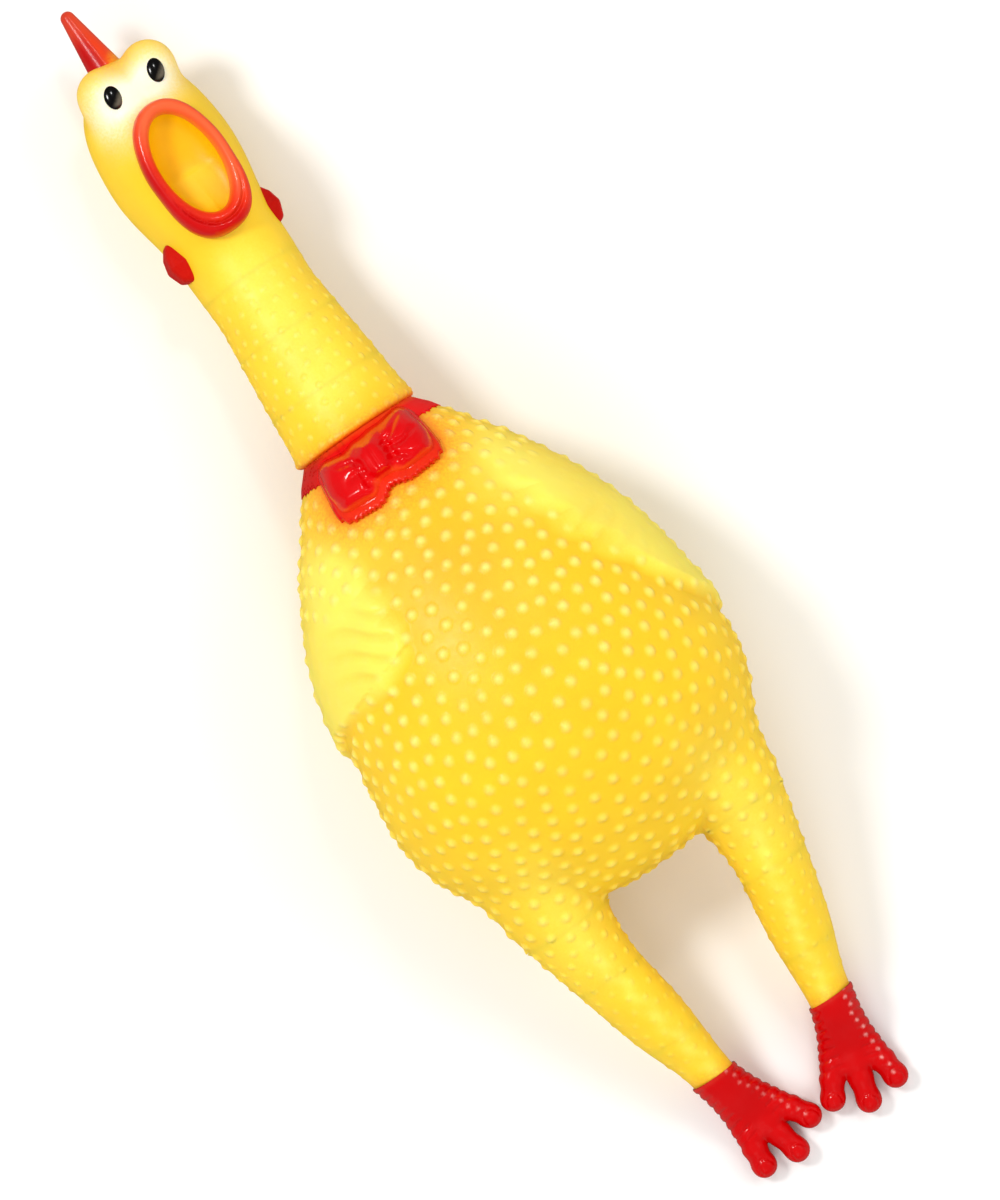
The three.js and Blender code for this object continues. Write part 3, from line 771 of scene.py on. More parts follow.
# the flat base under the bow, with a ragged lower edge
def bowBaseField(p):
    above = torsoField(p)
    teeth = bowShape["toothDepth"] * np.sin(p[:, 0] * bowShape["teeth"] + 1.4 * np.sin(p[:, 0] * 0.8))
    teeth *= smoothStep(-1, -4, p[:, 1] - bowShape["middle"])
    outline = bowOutline(p[:, 0], p[:, 1] + 1.1) - 0.5 - teeth
    return np.maximum(smoothMax(outline + 0.35 * above, above - 1.5, 0.6), -above - 0.3)


def collarField(p):
    above = torsoField(p)
    turn = np.arctan2(p[:, 0], p[:, 2] - collarAxisZ)
    teeth = collarShape["toothDepth"] * np.sin(turn * collarShape["teeth"] + 2 * np.sin(turn * 7))
    teeth += 0.14 * np.sin(turn * 23)
    low = collarY + 1.0 + teeth - 0.9 * np.exp(-(turn / 0.5) ** 2)
    thin = smoothStep(collarY + 3.5, collarY + 0.8, p[:, 1])
    shell = np.abs(above - 0.12 + 0.25 * thin) - collarShape["halfThick"] + 0.1 * thin
    return smoothMax(shell, np.maximum(low - p[:, 1], p[:, 1] - collarTopY - 0.5), 0.35)


# head pieces
lipShape = {
    "side": 3.1, "below": 5.2, "above": 3.6, "rise": 2.6,    # widths of the ring, and how far it stands out
    "low": (-13, 4, 10), "high": (13, 43, 22), "step": 0.5,
}


# a thick ring round the mouth, with a groove that makes two ridges below
def lipField(q):
    x, y = q[:, 0], q[:, 1] - mouthShape["y"]
    turn = np.arctan2(y / mouthShape["halfLength"], x / mouthShape["halfWidth"])
    under = smoothStep(0.1, 0.95, -np.sin(turn))
    over = smoothStep(0.3, 1.0, np.sin(turn))
    side, below, above = lipShape["side"], lipShape["below"], lipShape["above"]
    width = side + (below - side) * under + (above - side) * over
    width = width + 0.35 * np.cos(turn + 2.6)
    a, b = mouthShape["halfWidth"], mouthShape["halfLength"]
    r = np.hypot(x / a, y / b) + 1e-6
    slope = np.hypot(x / a ** 2, y / b ** 2) / r + 1e-6
    out = (r - 1) / slope
    across = (out - width / 2 + 0.35) / (width / 2)
    middle = 16.1 - 0.05 * np.abs(x) - 0.4 * under
    tall = 1 + lipShape["rise"] * (0.75 + 0.25 * under)
    groove = 0.85 * under * np.exp(-((across - 0.05) / 0.16) ** 2)
    z = (q[:, 2] - middle) / (tall - groove)
    ring = np.sqrt(np.abs(across) ** 2.4 + np.abs(z) ** 2.4)
    return (ring - 1) * np.minimum(width / 2, tall) * 0.8


combShape = {
    "lobes": [    # root, tip, radius at each
        ((-0.9, 50.5, 3.0), (-1.7, 68.6, 3.6), 4.6, 1.7),
        ((0.4, 49, -3.5), (0.6, 61.5, -5.8), 3.2, 1.3),
        ((1.0, 46, -9.0), (1.6, 55.5, -13.2), 2.9, 1.3),
        ((0.0, 56.0, 0.5), (1.3, 52.0, -11.5), 2.4, 2.0),    # the web that joins them
    ],
    "blend": 2.2, "low": (-6.5, 40, -18), "high": (6.5, 70.5, 9), "step": 0.5,
}


def combField(q):
    d = None
    for a, b, ra, rb in combShape["lobes"]:
        one = capsuleField(q, a, b, ra, rb)
        d = one if d is None else smoothMin(d, one, combShape["blend"])
    return smoothMax(d, -(headSolid(q) + 0.7), 0.3)


def eyeField(side):
    tilt = -eyeShape["tilt"] - side * eyeShape["splay"]
    centre = eyePlace(side)

    def field(q):
        d = q - centre
        u = d[:, 0] * math.cos(tilt) + d[:, 1] * math.sin(tilt)
        v = -d[:, 0] * math.sin(tilt) + d[:, 1] * math.cos(tilt)
        return ellipsoidField(np.column_stack([u, v, d[:, 2]]), np.zeros(3), np.array(eyeShape["radii"]))
    return field


# a flat lobe with a kinked outline, as (distance out from the cheek, along the neck)
wattleShape = {
    "outline": [(-2.4, 0.6), (-1.0, 3.4), (0.4, 3.9), (1.5, 2.2), (2.0, -0.4), (1.2, -2.9), (-0.2, -3.6),
                (-1.9, -2.2)],
    "out": 11.5, "shift": -0.4, "along": 8.2, "height": 2.6,
    "edgeRound": 1.5, "halfDepth": 4.2, "corner": 1.6, "step": 0.45,
}


def wattlePlace(side):
    x = side * wattleShape["out"] + wattleShape["shift"]
    return np.array([x, wattleShape["along"], wattleShape["height"]])


def wattleField(side):
    def field(q):
        d = q - wattlePlace(side)
        outline = polygonField(side * d[:, 0], d[:, 1], wattleShape["outline"]) - wattleShape["edgeRound"]
        depth = wattleShape["halfDepth"] - 0.25 * np.abs(d[:, 1])
        return smoothMax(outline, np.abs(d[:, 2]) - depth, wattleShape["corner"])
    return field


# feet, in their own axes: y down the foot from the ankle, z up from the floor
footShape = {
    "toeIn": math.radians(13.5), "palm": 17.0, "middle": 29.2, "outer": 26.0, "spread": 7.7, "toe": 2.85,
    "scalePitch": 2.3, "scaleDepth": 0.34, "beadPitch": 2.1, "beadRadius": 0.62, "step": 0.46,
}
footTable = splineTable([
    (-22, -90.0, 0, 3.0, 0.6, 0.5), (-19.6, 8.0, 0, 3.0, 0.55, 0.5), (-16.5, 50.0, 0, 3.3, 0.46, 0.42),
    (-11, 47.0, 0, 4.9, 0.64, 0.62), (-5, 34.4, 0, 8.3, 0.94, 0.94), (0, 32.2, 0, 10.5, 1.05, 1.05),
    (3, 32.2, 0, 11.4, 1.05, 1.05),
])


def toFoot(p, side):
    c, s = math.cos(side * footShape["toeIn"]), math.sin(side * footShape["toeIn"])
    x, y = p[:, 0] - side * ankleX, p[:, 1] - ankleY
    return np.column_stack([c * x - s * y, s * x + c * y, p[:, 2]])


# a row of small beads down the left edge of the top of each foot, out to the tip of its toe
def footBeads(p, side):
    f = toFoot(p, side)
    line = 3.2 + 0.25 * np.maximum(-f[:, 1] - 5, 0)
    row = np.floor(f[:, 1] / footShape["beadPitch"])
    middle = (row + 0.5) * footShape["beadPitch"]
    line = line + 0.35 * np.sin(row * 2.3)
    away = np.hypot(f[:, 0] - line, f[:, 1] - middle)
    # the left foot's row is stronger, both in relief and in its painted glint
    strong = 1.0 if side > 0 else 0.5
    onTop = smoothStep(-24, -21, f[:, 1]) * smoothStep(2, 4, f[:, 2])
    return strong * smoothStep(footShape["beadRadius"], 0.1, away) * onTop


def footField(side):
    spread, outer = footShape["spread"], footShape["outer"]
    toes = [(-spread, outer), (0, footShape["middle"]), (spread, outer)]

    def field(p):
        f = toFoot(p, side)
        d = loftField(f, footTable)
        for tipX, tipY in toes:
            root = np.array([tipX * 0.5, -footShape["palm"] * 0.7, 3.8])
            tip = np.array([tipX, -tipY + footShape["toe"], footShape["toe"]])
            share = np.clip(((f - root) @ (tip - root)) / ((tip - root) @ (tip - root)), 0, 1)
            knuckle = 0.16 * np.cos((share - 0.62) * 2 * math.pi / 0.36) * smoothStep(0.3, 0.5, share)
            toe = capsuleField(f, root, tip, 3.1, footShape["toe"]) - knuckle
            nail = np.hypot((f[:, 0] - tip[0]) / 1.9, (f[:, 1] - tip[1] + 0.9) / 2.6)
            onTop = smoothStep(1.0, 2.2, f[:, 2] - tip[2])
            toe = toe + onTop * 0.26 * np.exp(-((nail - 1) / 0.15) ** 2)
            d = smoothMin(d, toe, 0.7)
        turn = np.arctan2(f[:, 0], f[:, 2] - look(footTable, f[:, 1], 2))
        ring = f[:, 1] * 2 * math.pi / footShape["scalePitch"]
        edges = smoothStep(0.55, 0.95, np.abs(turn)) * smoothStep(-20, -13, f[:, 1])
        scales = (0.5 + 0.5 * np.cos(ring + 0.9 * np.abs(turn))) ** 3
        d = d + footShape["scaleDepth"] * scales * edges - 0.3 * footBeads(p, side)
        return smoothMax(d, -p[:, 2], 0.4)
    return field


# shader node groups; inputs: name, kind and default; outputs: name and kind
def newGroup(name, inputs, outputs):
    tree = bpy.data.node_groups.new(name, "ShaderNodeTree")
    for label, kind, default in inputs:
        socket = tree.interface.new_socket(label, in_out="INPUT", socket_type="NodeSocket" + kind)
        socket.default_value = default
    for label, kind in outputs:
        tree.interface.new_socket(label, in_out="OUTPUT", socket_type="NodeSocket" + kind)
    return tree, tree.nodes.new("NodeGroupInput"), tree.nodes.new("NodeGroupOutput")


def addNode(tree, kind, **settings):
    node = tree.nodes.new(kind)
    for key, value in settings.items():
        setattr(node, key, value)
    return node


def mathNode(tree, operation, first, second, clamp=False):
    node = addNode(tree, "ShaderNodeMath", operation=operation, use_clamp=clamp)
    for socket, value in zip(node.inputs, (first, second)):
        if isinstance(value, (int, float)):
            socket.default_value = value
        else:
            tree.links.new(value, socket)
    return node.outputs[0]


def noiseNode(tree, place, scale, detail, roughness=0.5):
    node = addNode(tree, "ShaderNodeTexNoise")
    tree.links.new(place, node.inputs["Vector"])
    if isinstance(scale, (int, float)):
        node.inputs["Scale"].default_value = scale
    else:
        tree.links.new(scale, node.inputs["Scale"])
    node.inputs["Detail"].default_value = detail
    node.inputs["Roughness"].default_value = roughness
    return node.outputs["Fac"]


# one sprayed colour over another, its edge broken up by speckle
def makeSprayLayer():
    tree, given, result = newGroup(
        "sprayLayer",
        [("Under", "Color", (1, 1, 1, 1)), ("Over", "Color", (1, 0, 0, 1)), ("Mask", "Float", 0.0),
         ("Place", "Vector", (0, 0, 0)), ("Speckle", "Float", 0.3), ("Speckle Scale", "Float", 2.0)],
        [("Color", "Color"), ("Mask", "Float")])
    grain = noiseNode(tree, given.outputs["Place"], given.outputs["Speckle Scale"], 3)
    centred = mathNode(tree, "SUBTRACT", grain, 0.5)
    shift = mathNode(tree, "MULTIPLY", centred, given.outputs["Speckle"])
    rest = mathNode(tree, "SUBTRACT", 1.0, given.outputs["Mask"])
    inside = mathNode(tree, "MULTIPLY", given.outputs["Mask"], rest)
    moved = mathNode(tree, "MULTIPLY", mathNode(tree, "MULTIPLY", shift, inside), 8.0)
    mask = mathNode(tree, "ADD", given.outputs["Mask"], moved, clamp=True)
    mix = addNode(tree, "ShaderNodeMix", data_type="RGBA")
    tree.links.new(mask, mix.inputs[0])
    tree.links.new(given.outputs["Under"], mix.inputs[6])
    tree.links.new(given.outputs["Over"], mix.inputs[7])
    tree.links.new(mix.outputs[2], result.inputs["Color"])
    tree.links.new(mask, result.inputs["Mask"])
    return tree


# the slow waviness, fine grain and handling marks of soft moulded vinyl
def makeMoulded():
    tree, given, result = newGroup(
        "mouldedVinyl",
        [("Color", "Color", (1, 1, 1, 1)), ("Place", "Vector", (0, 0, 0)), ("Mottle", "Float", 0.1),
         ("Mottle Scale", "Float", 0.12), ("Grain Scale", "Float", 3.0), ("Gloss", "Float", 0.35),
         ("Scuff", "Float", 0.12)],
        [("Color", "Color"), ("Roughness", "Float"), ("Height", "Float")])
    slow = noiseNode(tree, given.outputs["Place"], given.outputs["Mottle Scale"], 3)
    fine = noiseNode(tree, given.outputs["Place"], given.outputs["Grain Scale"], 4, 0.6)
    swing = mathNode(tree, "MULTIPLY", mathNode(tree, "SUBTRACT", slow, 0.5), given.outputs["Mottle"])
    tone = mathNode(tree, "ADD", mathNode(tree, "MULTIPLY", swing, 2.0), 1.0)
    mix = addNode(tree, "ShaderNodeHueSaturation")
    tree.links.new(given.outputs["Color"], mix.inputs["Color"])
    tree.links.new(tone, mix.inputs["Value"])
    marks = noiseNode(tree, given.outputs["Place"], 0.45, 5, 0.65)
    marked = mathNode(tree, "MULTIPLY", mathNode(tree, "SUBTRACT", marks, 0.42), given.outputs["Scuff"])
    rough = mathNode(tree, "ADD", given.outputs["Gloss"], mathNode(tree, "MULTIPLY", marked, 2.4), clamp=True)
    tree.links.new(mix.outputs[0], result.inputs["Color"])
    tree.links.new(rough, result.inputs["Roughness"])
    height = mathNode(tree, "ADD", mathNode(tree, "MULTIPLY", fine, 0.35), slow)
    tree.links.new(height, result.inputs["Height"])
    return tree


sprayLayer = makeSprayLayer()
moulded = makeMoulded()


# a colour given as 0 to 255, as the shader's linear values
def rgb(r, g, b):
    shares = (c / 255 for c in (r, g, b))
    return tuple(c / 12.92 if c <= 0.04 else ((c + 0.055) / 1.055) ** 2.4 for c in shares) + (1,)


# a finish's layers are each an attribute, a colour and a speckle, sprayed over what comes before
def vinylMaterial(name, finish, useAttribute=True):
    material = bpy.data.materials.new(name)
    material.use_nodes = True
    material.diffuse_color = finish["color"]
    tree = material.node_tree
    shader = tree.nodes["Principled BSDF"]
    if useAttribute:
        place = addNode(tree, "ShaderNodeAttribute", attribute_name="restPlace").outputs["Vector"]
    else:
        scale = addNode(tree, "ShaderNodeVectorMath", operation="SCALE")
        tree.links.new(addNode(tree, "ShaderNodeTexCoord").outputs["Object"], scale.inputs[0])
        scale.inputs["Scale"].default_value = 1 / mm
        place = scale.outputs[0]
    color = None
    for attribute, over, speckle in finish.get("layers", ()):
        group = addNode(tree, "ShaderNodeGroup", node_tree=sprayLayer)
        if color is None:
            group.inputs["Under"].default_value = finish["color"]
        else:
            tree.links.new(color, group.inputs["Under"])
        group.inputs["Over"].default_value = over
        group.inputs["Speckle"].default_value = speckle
        group.inputs["Speckle Scale"].default_value = 1.6
        tree.links.new(place, group.inputs["Place"])
        mask = addNode(tree, "ShaderNodeAttribute", attribute_name=attribute)
        tree.links.new(mask.outputs["Fac"], group.inputs["Mask"])
        color = group.outputs["Color"]
    body = addNode(tree, "ShaderNodeGroup", node_tree=moulded)
    if color is None:
        body.inputs["Color"].default_value = finish["color"]
    else:
        tree.links.new(color, body.inputs["Color"])
    tree.links.new(place, body.inputs["Place"])
    for label, key in (("Mottle", "mottle"), ("Mottle Scale", "mottleScale"), ("Grain Scale", "grainScale"),
                       ("Gloss", "gloss"), ("Scuff", "scuff")):
        if key in finish:
            body.inputs[label].default_value = finish[key]
    tree.links.new(body.outputs["Color"], shader.inputs["Base Color"])
    tree.links.new(body.outputs["Roughness"], shader.inputs["Roughness"])
    bump = addNode(tree, "ShaderNodeBump")
    bump.inputs["Strength"].default_value = finish["bump"]
    bump.inputs["Distance"].default_value = 0.4 * mm
    tree.links.new(body.outputs["Height"], bump.inputs["Height"])
    tree.links.new(bump.outputs["Normal"], shader.inputs["Normal"])
    shader.inputs["Coat Weight"].default_value = finish.get("coat", 0)
    shader.inputs["Coat Roughness"].default_value = finish.get("coatRoughness", 0.1)
    shader.inputs["Specular IOR Level"].default_value = finish.get("specular", 0.5)
    if "soft" in finish:
        shader.inputs["Subsurface Weight"].default_value = finish["soft"]
        shader.inputs["Subsurface Radius"].default_value = finish["softRadius"]
        shader.inputs["Subsurface Scale"].default_value = finish["softScale"] * mm
    return material


skinLook = {
    "color": rgb(255, 207, 34), "mottle": 0.09, "mottleScale": 0.09, "grainScale": 2.2, "gloss": 0.4,
    "scuff": 0.12, "bump": 0.10, "specular": 0.32,
    "soft": 0.3, "softScale": 3.0, "softRadius": (1.0, 0.55, 0.12),
    "layers": [
        # the pale lemon layer (255, 233, 92) is painted highlight
        ("warm", rgb(255, 187, 30), 0.2), ("paintedHighlight", rgb(255, 233, 92), 0.2),
        ("cream", rgb(255, 248, 218), 0.25), ("pimple", rgb(255, 229, 120), 0.1),
        ("blush", rgb(252, 122, 14), 0.5), ("mouth", rgb(244, 191, 4), 0.1),
    ],
}
redLook = {
    "color": rgb(206, 0, 3), "mottle": 0.08, "gloss": 0.2, "scuff": 0.1, "bump": 0.06, "coat": 0.22,
    "coatRoughness": 0.05, "specular": 0.2,
}
bowLook = {
    **redLook, "color": rgb(218, 0, 5), "coat": 0.5, "coatRoughness": 0.06,
    # the orange layer is painted highlight on the lower side walls
    "layers": [("edge", rgb(250, 84, 26), 0.2)],
}
collarLook = {
    **redLook, "color": rgb(232, 2, 5), "gloss": 0.42, "coat": 0.03, "specular": 0.1,
    # the dark red layer is painted shade
    "layers": [("edge", rgb(226, 84, 30), 0.5), ("paintedSideShade", rgb(178, 26, 14), 0.4)],
}
footLook = {
    **redLook, "coat": 0.5,
    # the pale pink layer on the beads is a painted glint
    "layers": [("edge", rgb(214, 60, 40), 0.3), ("beadGlint", rgb(255, 176, 168), 0.1)],
}
wattleLook = {
    **redLook, "color": rgb(188, 0, 2), "coat": 0.02, "gloss": 0.45, "specular": 0.06,
    # the orange layer is painted highlight on the upper face
    "layers": [("edge", rgb(226, 70, 40), 0.2)],
}
lipLook = {
    **redLook, "color": rgb(232, 48, 16), "gloss": 0.32, "coat": 0.4,
    # the paler orange layer is painted highlight and the dark red one is painted shade
    "layers": [("inner", rgb(240, 98, 52), 0.25), ("deep", rgb(200, 2, 2), 0.35)],
}
combLook = {
    **redLook, "color": rgb(228, 62, 22), "gloss": 0.34, "coat": 0.12,
    "layers": [
        # the dark red layer is painted shade
        ("deep", rgb(188, 6, 4), 0.4), ("root", rgb(250, 176, 22), 0.5), ("tip", rgb(216, 72, 42), 0.2),
    ],
}
eyeLook = {
    "color": rgb(6, 5, 4), "mottle": 0.2, "gloss": 0.16, "scuff": 0.04, "coat": 0.3, "coatRoughness": 0.03,
    "bump": 0.02, "specular": 0.3,
    "layers": [("glint", rgb(112, 104, 88), 0.2)],
}
sounderLook = {"color": rgb(238, 234, 222), "mottle": 0.05, "gloss": 0.36, "scuff": 0.15, "bump": 0.1}
reedLook = {"color": rgb(228, 212, 168), "mottle": 0.1, "gloss": 0.25, "scuff": 0.2, "bump": 0.05}

skinVinyl = vinylMaterial("yellowSkinVinyl", skinLook)
bowRed = vinylMaterial("bowTieRed", bowLook)
collarRed = vinylMaterial("collarRed", collarLook)
footRed = vinylMaterial("footRed", footLook)
wattleRed = vinylMaterial("wattleRed", wattleLook)
lipPaint = vinylMaterial("lipPaint", lipLook)
combPaint = vinylMaterial("combPaint", combLook)
eyeGloss = vinylMaterial("eyeGloss", eyeLook)
sounderWhite = vinylMaterial("sounderWhite", sounderLook, useAttribute=False)
reedFilm = vinylMaterial("reedFilm", reedLook, useAttribute=False)
print("materials made")

# the yellow skin
skinMesh = {"step": 1.06, "margin": 3.0}
skinLow = [-halfWidth - 6, toeTipY + 20, -skinMesh["margin"]]
skinHigh = [halfWidth + 6, neckTopY + 62, bellyTop + skinMesh["margin"]]
netPoints, netFaces = netMesh(skinField, skinLow, skinHigh, skinMesh["step"])
netPoints = settle(skinField, netPoints, 2)
wholeSkin = newMesh("wholeSkin", netPoints, netFaces)
print("skin net", len(netPoints), "points")
pimplePlaces, pimpleHeights = scatterPimples(netPoints)
print("pimples", len(pimplePlaces))

skinTop = collarTopY - 3.5
ringMiddles = [middleY("neck_ring_" + level) for level in ("lower", "middle", "upper")]
thighMiddle, shankMiddle = middleY("thigh_left"), middleY("shank_left")
skinPieces = [
    # name, lower and upper plane, side, CAD nodes that it stands for
    ("torsoSkin", hipY + 0.3, skinTop, 0, ["torso_shell", "belly_panel", "wing_left", "wing_right"]),
    ("neckSkinLow", skinTop, ringMiddles[0], 0, ["neck_fold_lower"]),
    ("neckSkinMiddle", ringMiddles[0], ringMiddles[1], 0, ["neck_ring_lower", "neck_fold_middle"]),
    ("neckSkinTop", ringMiddles[1], ringMiddles[2], 0, ["neck_ring_middle", "neck_fold_upper"]),
    ("headSkin", ringMiddles[2], None, 0, ["neck_ring_upper", "head_shell"]),
]
for sideName, side in (("left", 1), ("right", -1)):
    label = sideName.capitalize()
    skinPieces += [
        ("hipSkin" + label, thighMiddle, hipY + 0.3, side, ["hip_fold_" + sideName]),
        ("kneeSkin" + label, shankMiddle, thighMiddle, side, ["thigh_" + sideName, "knee_fold_" + sideName]),
        ("ankleSkin" + label, ankleY - 0.8, shankMiddle, side,
         ["shank_" + sideName, "ankle_fold_" + sideName]),
    ]
pieces = {}
for name, low, high, side, nodes in skinPieces:
    mesh = refine(cutSlice(wholeSkin, low, high, side))
    base, points, normals, pimple = skinSurface(mesh, pimplePlaces, pimpleHeights)
    pieces[name] = finishPiece(name, mesh, points, normals, skinVinyl, skinMasks(base, pimple))
    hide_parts(*nodes)
    print(name, len(mesh.polygons), "faces")


# the stretch of skin that lies at the CAD fold node between two bodies; it is only baked in place, the same
# for every node
def blendAcross(name, node):
    if node.startswith("neck"):
        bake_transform(pieces[name])
    else:
        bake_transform(pieces[name])


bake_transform(pieces["torsoSkin"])
blendAcross("neckSkinLow", "neck_fold_lower")
blendAcross("neckSkinMiddle", "neck_fold_middle")
blendAcross("neckSkinTop", "neck_fold_upper")
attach(pieces["headSkin"], "head")
for sideName in ("left", "right"):
    label = sideName.capitalize()
    blendAcross("hipSkin" + label, "hip_fold_" + sideName)
    blendAcross("kneeSkin" + label, "knee_fold_" + sideName)
    blendAcross("ankleSkin" + label, "ankle_fold_" + sideName)
print("skin placed")

# the painted pieces, each with its own finer surface
def headPiece(name, field, low, high, step, material, attributes):
    def turned(p):
        return field(toHead(p))
    corners = [(x, y, z) for x in (low[0], high[0]) for y in (low[1], high[1]) for z in (low[2], high[2])]
    outer = fromHead(np.array(corners, float))

    def masks(p):
        return attributes(toHead(p))
    return bodyPiece(name, turned, outer.min(axis=0), outer.max(axis=0), step, material, masks)


def place(obj, body, slot, *nodes):
    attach(obj, body)
    if nodes:
        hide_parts(*nodes)


# the collar's dark red layer is painted shade, laid on its sides where x is below 0
def collarMasks(p):
    turn = np.abs(np.arctan2(p[:, 0], p[:, 2] - collarAxisZ))
    return {"edge": 0.7 * smoothStep(collarTopY - 1.6, collarTopY - 0.2, p[:, 1]),
            "paintedSideShade": smoothStep(0.55, 0.9, turn) * np.where(p[:, 0] < 0, 0.55, 0.0)}


def bowLowerHalf(p):
    return smoothStep(-0.5, -3.5, p[:, 1] - bowShape["middle"])


# the orange on the bow's lower side walls, and on the top of its base below the bow, is painted highlight
def bowTopMasks(p):
    return {"edge": 0.45 * smoothStep(3.1, 2.4, torsoField(p)) * bowLowerHalf(p)}


def bowBaseMasks(p):
    return {"edge": 0.3 * smoothStep(1.2, 1.6, torsoField(p)) * bowLowerHalf(p)}


low, high = boxMm("collar_band")
collar = bodyPiece("collarBand", collarField, low - 1.6, high + 1.6, collarShape["step"], collarRed,
                   collarMasks)
place(collar, "torso", "bow_tie", "collar_band")
bowLow = [-bowShape["halfWidth"] - 2.5, bowShape["middle"] - 10.5, collarAxisZ + 10]
bowHigh = [bowShape["halfWidth"] + 2.5, bowShape["middle"] + 8.5, collarAxisZ + 29]
bowBase = bodyPiece("bowBase", bowBaseField, bowLow, bowHigh, bowShape["baseStep"], bowRed, bowBaseMasks)
place(bowBase, "torso", "bow_tie")
bowTop = bodyPiece("bowTie", bowTopField, bowLow, bowHigh, bowShape["step"], bowRed, bowTopMasks)
place(bowTop, "torso", "bow_tie", "bow_knot", "bow_loop_left", "bow_loop_right")


# the lip ring's darker red is painted shade, on the lower left of the ring and in a thin line round its outer
# right rim; the paler orange on its inner upper right is painted highlight
def lipMasks(q):
    x, y = q[:, 0], q[:, 1] - mouthShape["y"]
    r = np.hypot(x / mouthShape["halfWidth"], y / mouthShape["halfLength"])
    inner = smoothStep(1.42, 1.1, r) * smoothStep(-0.9, 0.5, (x + y * 0.6) / 8)
    deep = smoothStep(0.1, 0.9, (-x * 0.9 - y * 0.55) / 9) * smoothStep(1.02, 1.3, r)
    outline = smoothStep(1.42, 1.58, r) * smoothStep(-0.4, 0.5, x / 8) * 0.8
    return {"inner": inner, "deep": np.clip(deep + outline, 0, 1)}


# the comb's dark red layer is painted shade on its flanks, strongest where x is below 0
def combMasks(q):
    x, up = q[:, 0], q[:, 1]
    return {"deep": smoothStep(-0.4, -2.2, x) * smoothStep(50, 55, up) + 0.25 * smoothStep(1.6, 2.8, x),
            "root": smoothStep(57.5, 51.5, up - 0.8 * x) * smoothStep(-2.5, 0.5, x),
            "tip": smoothStep(60, 66, up) * 0.6}


# the orange on the wattle's upper face is painted highlight
def wattleMasks(q):
    return {"edge": 0.12 * smoothStep(1.5, 5, q[:, 2])}


# the paint thins at the ankle and near the floor, and the beads carry a painted glint
def footMasks(side):
    def masks(p):
        thin = 0.35 * smoothStep(ankleY - 1.5, ankleY, p[:, 1]) + 0.3 * smoothStep(5, 1, p[:, 2])
        return {"edge": thin, "beadGlint": 0.8 * footBeads(p, side)}
    return masks


def eyeMasks(side):
    centre = eyePlace(side)

    def masks(q):
        d = q - centre
        lower = smoothStep(0.2, 1.2, d[:, 0] * 0.45 - d[:, 1] * 0.55)
        return {"glint": 0.8 * lower * smoothStep(2.7, 2.0, np.hypot(d[:, 0], d[:, 1]))}
    return masks


lips = headPiece("mouthLips", lipField, lipShape["low"], lipShape["high"], lipShape["step"], lipPaint,
                 lipMasks)
place(lips, "head", "lip_paint", "mouth_lips")
comb = headPiece("combFin", combField, combShape["low"], combShape["high"], combShape["step"], combPaint,
                 combMasks)
place(comb, "head", "comb_paint", "comb")
for sideName, side in (("left", 1), ("right", -1)):
    label = sideName.capitalize()
    spot = eyePlace(side)
    eye = headPiece("eye" + label, eyeField(side), spot - 3.6, spot + 3.6, eyeShape["step"], eyeGloss,
                    eyeMasks(side))
    place(eye, "head", "eye_paint", "eye_" + sideName)
    spot = wattlePlace(side)
    wattle = headPiece("wattle" + label, wattleField(side), spot - 8, spot + 8, wattleShape["step"],
                       wattleRed, wattleMasks)
    place(wattle, "head", "red_skin", "wattle_" + sideName)
    low, high = boxMm("foot_" + sideName)
    foot = bodyPiece("foot" + label, footField(side), low - 1.5, high + 2.5, footShape["step"], footRed,
                     footMasks(side), ankleY)
    place(foot, "foot_" + sideName, "red_skin", "foot_" + sideName)
print("painted pieces placed")

# the sounder keeps its CAD shape
for node in ("sounder_tube", "sounder_cap", "throat_seal", "reed_trough", "reed_wedge", "reed_tongue"):
    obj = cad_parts[node]
    for slot in obj.material_slots:
        slot.material = reedFilm if node == "reed_tongue" else sounderWhite

# floor, light and camera
stageLook = {
    "floorHalf": 3.0, "floorColor": rgb(246, 246, 244), "floorGloss": rgb(120, 116, 110),
    "skyLight": 0.5, "skyGloss": 0.12,
    "viewHeight": 269.7, "aimX": 5.2, "aimY": -8.9, "distance": 1200.0, "tilt": math.radians(-34.5),
}


# the first shader everywhere, and the second one where a gloss reflects it
def linkMix(tree, seen, reflected, output):
    mix = tree.nodes.new("ShaderNodeMixShader")
    path = tree.nodes.new("ShaderNodeLightPath")
    tree.links.new(path.outputs["Is Glossy Ray"], mix.inputs[0])
    tree.links.new(seen, mix.inputs[1])
    tree.links.new(reflected, mix.inputs[2])
    tree.links.new(mix.outputs[0], tree.nodes[output].inputs["Surface"])


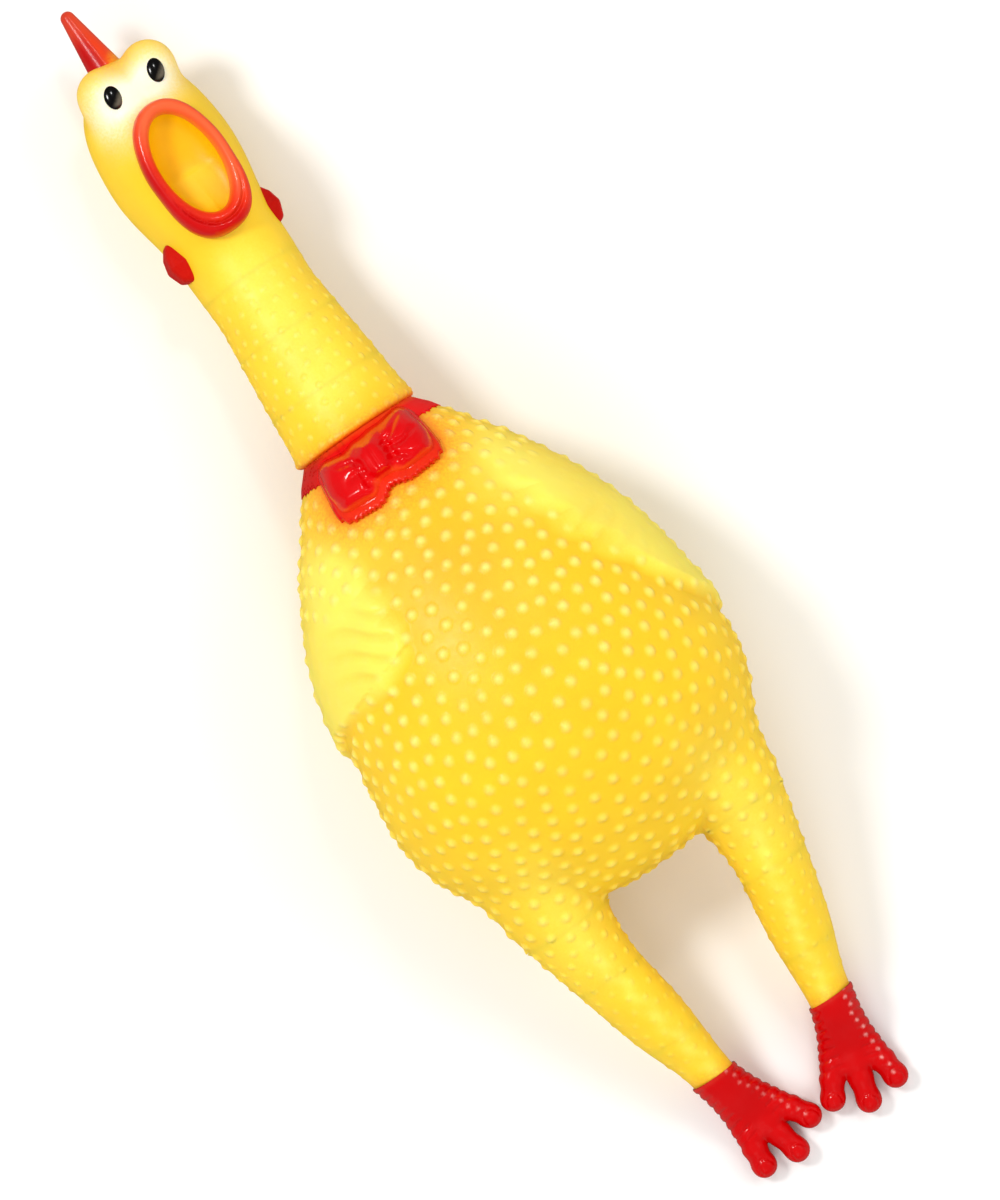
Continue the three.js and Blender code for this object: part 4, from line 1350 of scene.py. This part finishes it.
floorMesh = bpy.data.meshes.new("floor")
build = bmesh.new()
bmesh.ops.create_grid(build, x_segments=8, y_segments=8, size=stageLook["floorHalf"])
build.to_mesh(floorMesh)
build.free()
floor = bpy.data.objects.new("floor", floorMesh)
floor.location.z = -0.3 * mm
bpy.context.scene.collection.objects.link(floor)
floorPaint = bpy.data.materials.new("paleFloor")
floorPaint.use_nodes = True
floorShader = floorPaint.node_tree.nodes["Principled BSDF"]
floorShader.inputs["Base Color"].default_value = stageLook["floorColor"]
floorShader.inputs["Roughness"].default_value = 0.9
floorGloss = floorPaint.node_tree.nodes.new("ShaderNodeBsdfDiffuse")    # a darker floor for gloss to meet
floorGloss.inputs["Color"].default_value = stageLook["floorGloss"]
linkMix(floorPaint.node_tree, floorShader.outputs[0], floorGloss.outputs[0], "Material Output")
floorMesh.materials.append(floorPaint)


def addLamp(name, place, aim, size, power, reflected=True):
    data = bpy.data.lights.new(name, "AREA")
    data.shape = "DISK"
    data.size = size
    data.energy = power
    lamp = bpy.data.objects.new(name, data)
    lamp.location = place
    lamp.rotation_euler = (Vector(aim) - Vector(place)).to_track_quat("-Z", "Y").to_euler()
    lamp.visible_glossy = reflected
    bpy.context.scene.collection.objects.link(lamp)


addLamp("keyLamp", (-0.4, 0.5, 0.9), (0, 0, 0.03), 0.26, 5.4)
addLamp("glintLamp", (0.35, 0.45, 0.85), (0, 0, 0.03), 0.12, 0.9)
addLamp("fillLamp", (0.75, -0.1, 0.8), (0, 0, 0.03), 0.7, 3.2, False)
addLamp("lowLamp", (-0.3, -0.8, 0.9), (0, -0.03, 0.03), 0.7, 4.0, False)
world = bpy.data.worlds.new("studio")
bpy.context.scene.world = world
world.use_nodes = True
sky = world.node_tree.nodes["Background"]
sky.inputs["Color"].default_value = (1, 1, 1, 1)
sky.inputs["Strength"].default_value = stageLook["skyLight"]
mirroredSky = world.node_tree.nodes.new("ShaderNodeBackground")    # dimmer where it shows in a gloss
mirroredSky.inputs["Color"].default_value = (1, 1, 1, 1)
mirroredSky.inputs["Strength"].default_value = stageLook["skyGloss"]
linkMix(world.node_tree, sky.outputs[0], mirroredSky.outputs[0], "World Output")
bpy.context.scene.view_settings.view_transform = "Standard"

cameraData = bpy.data.cameras.new("camera")
cameraData.sensor_fit = "VERTICAL"
cameraData.sensor_height = 36
cameraData.lens = cameraData.sensor_height * (stageLook["distance"] - 30) / stageLook["viewHeight"]
cameraData.clip_end = 20
camera = bpy.data.objects.new("camera", cameraData)
camera.location = (stageLook["aimX"] * mm, stageLook["aimY"] * mm, stageLook["distance"] * mm)
camera.rotation_euler = (0, 0, stageLook["tilt"])
bpy.context.scene.collection.objects.link(camera)
bpy.context.scene.camera = camera
print("stage set")
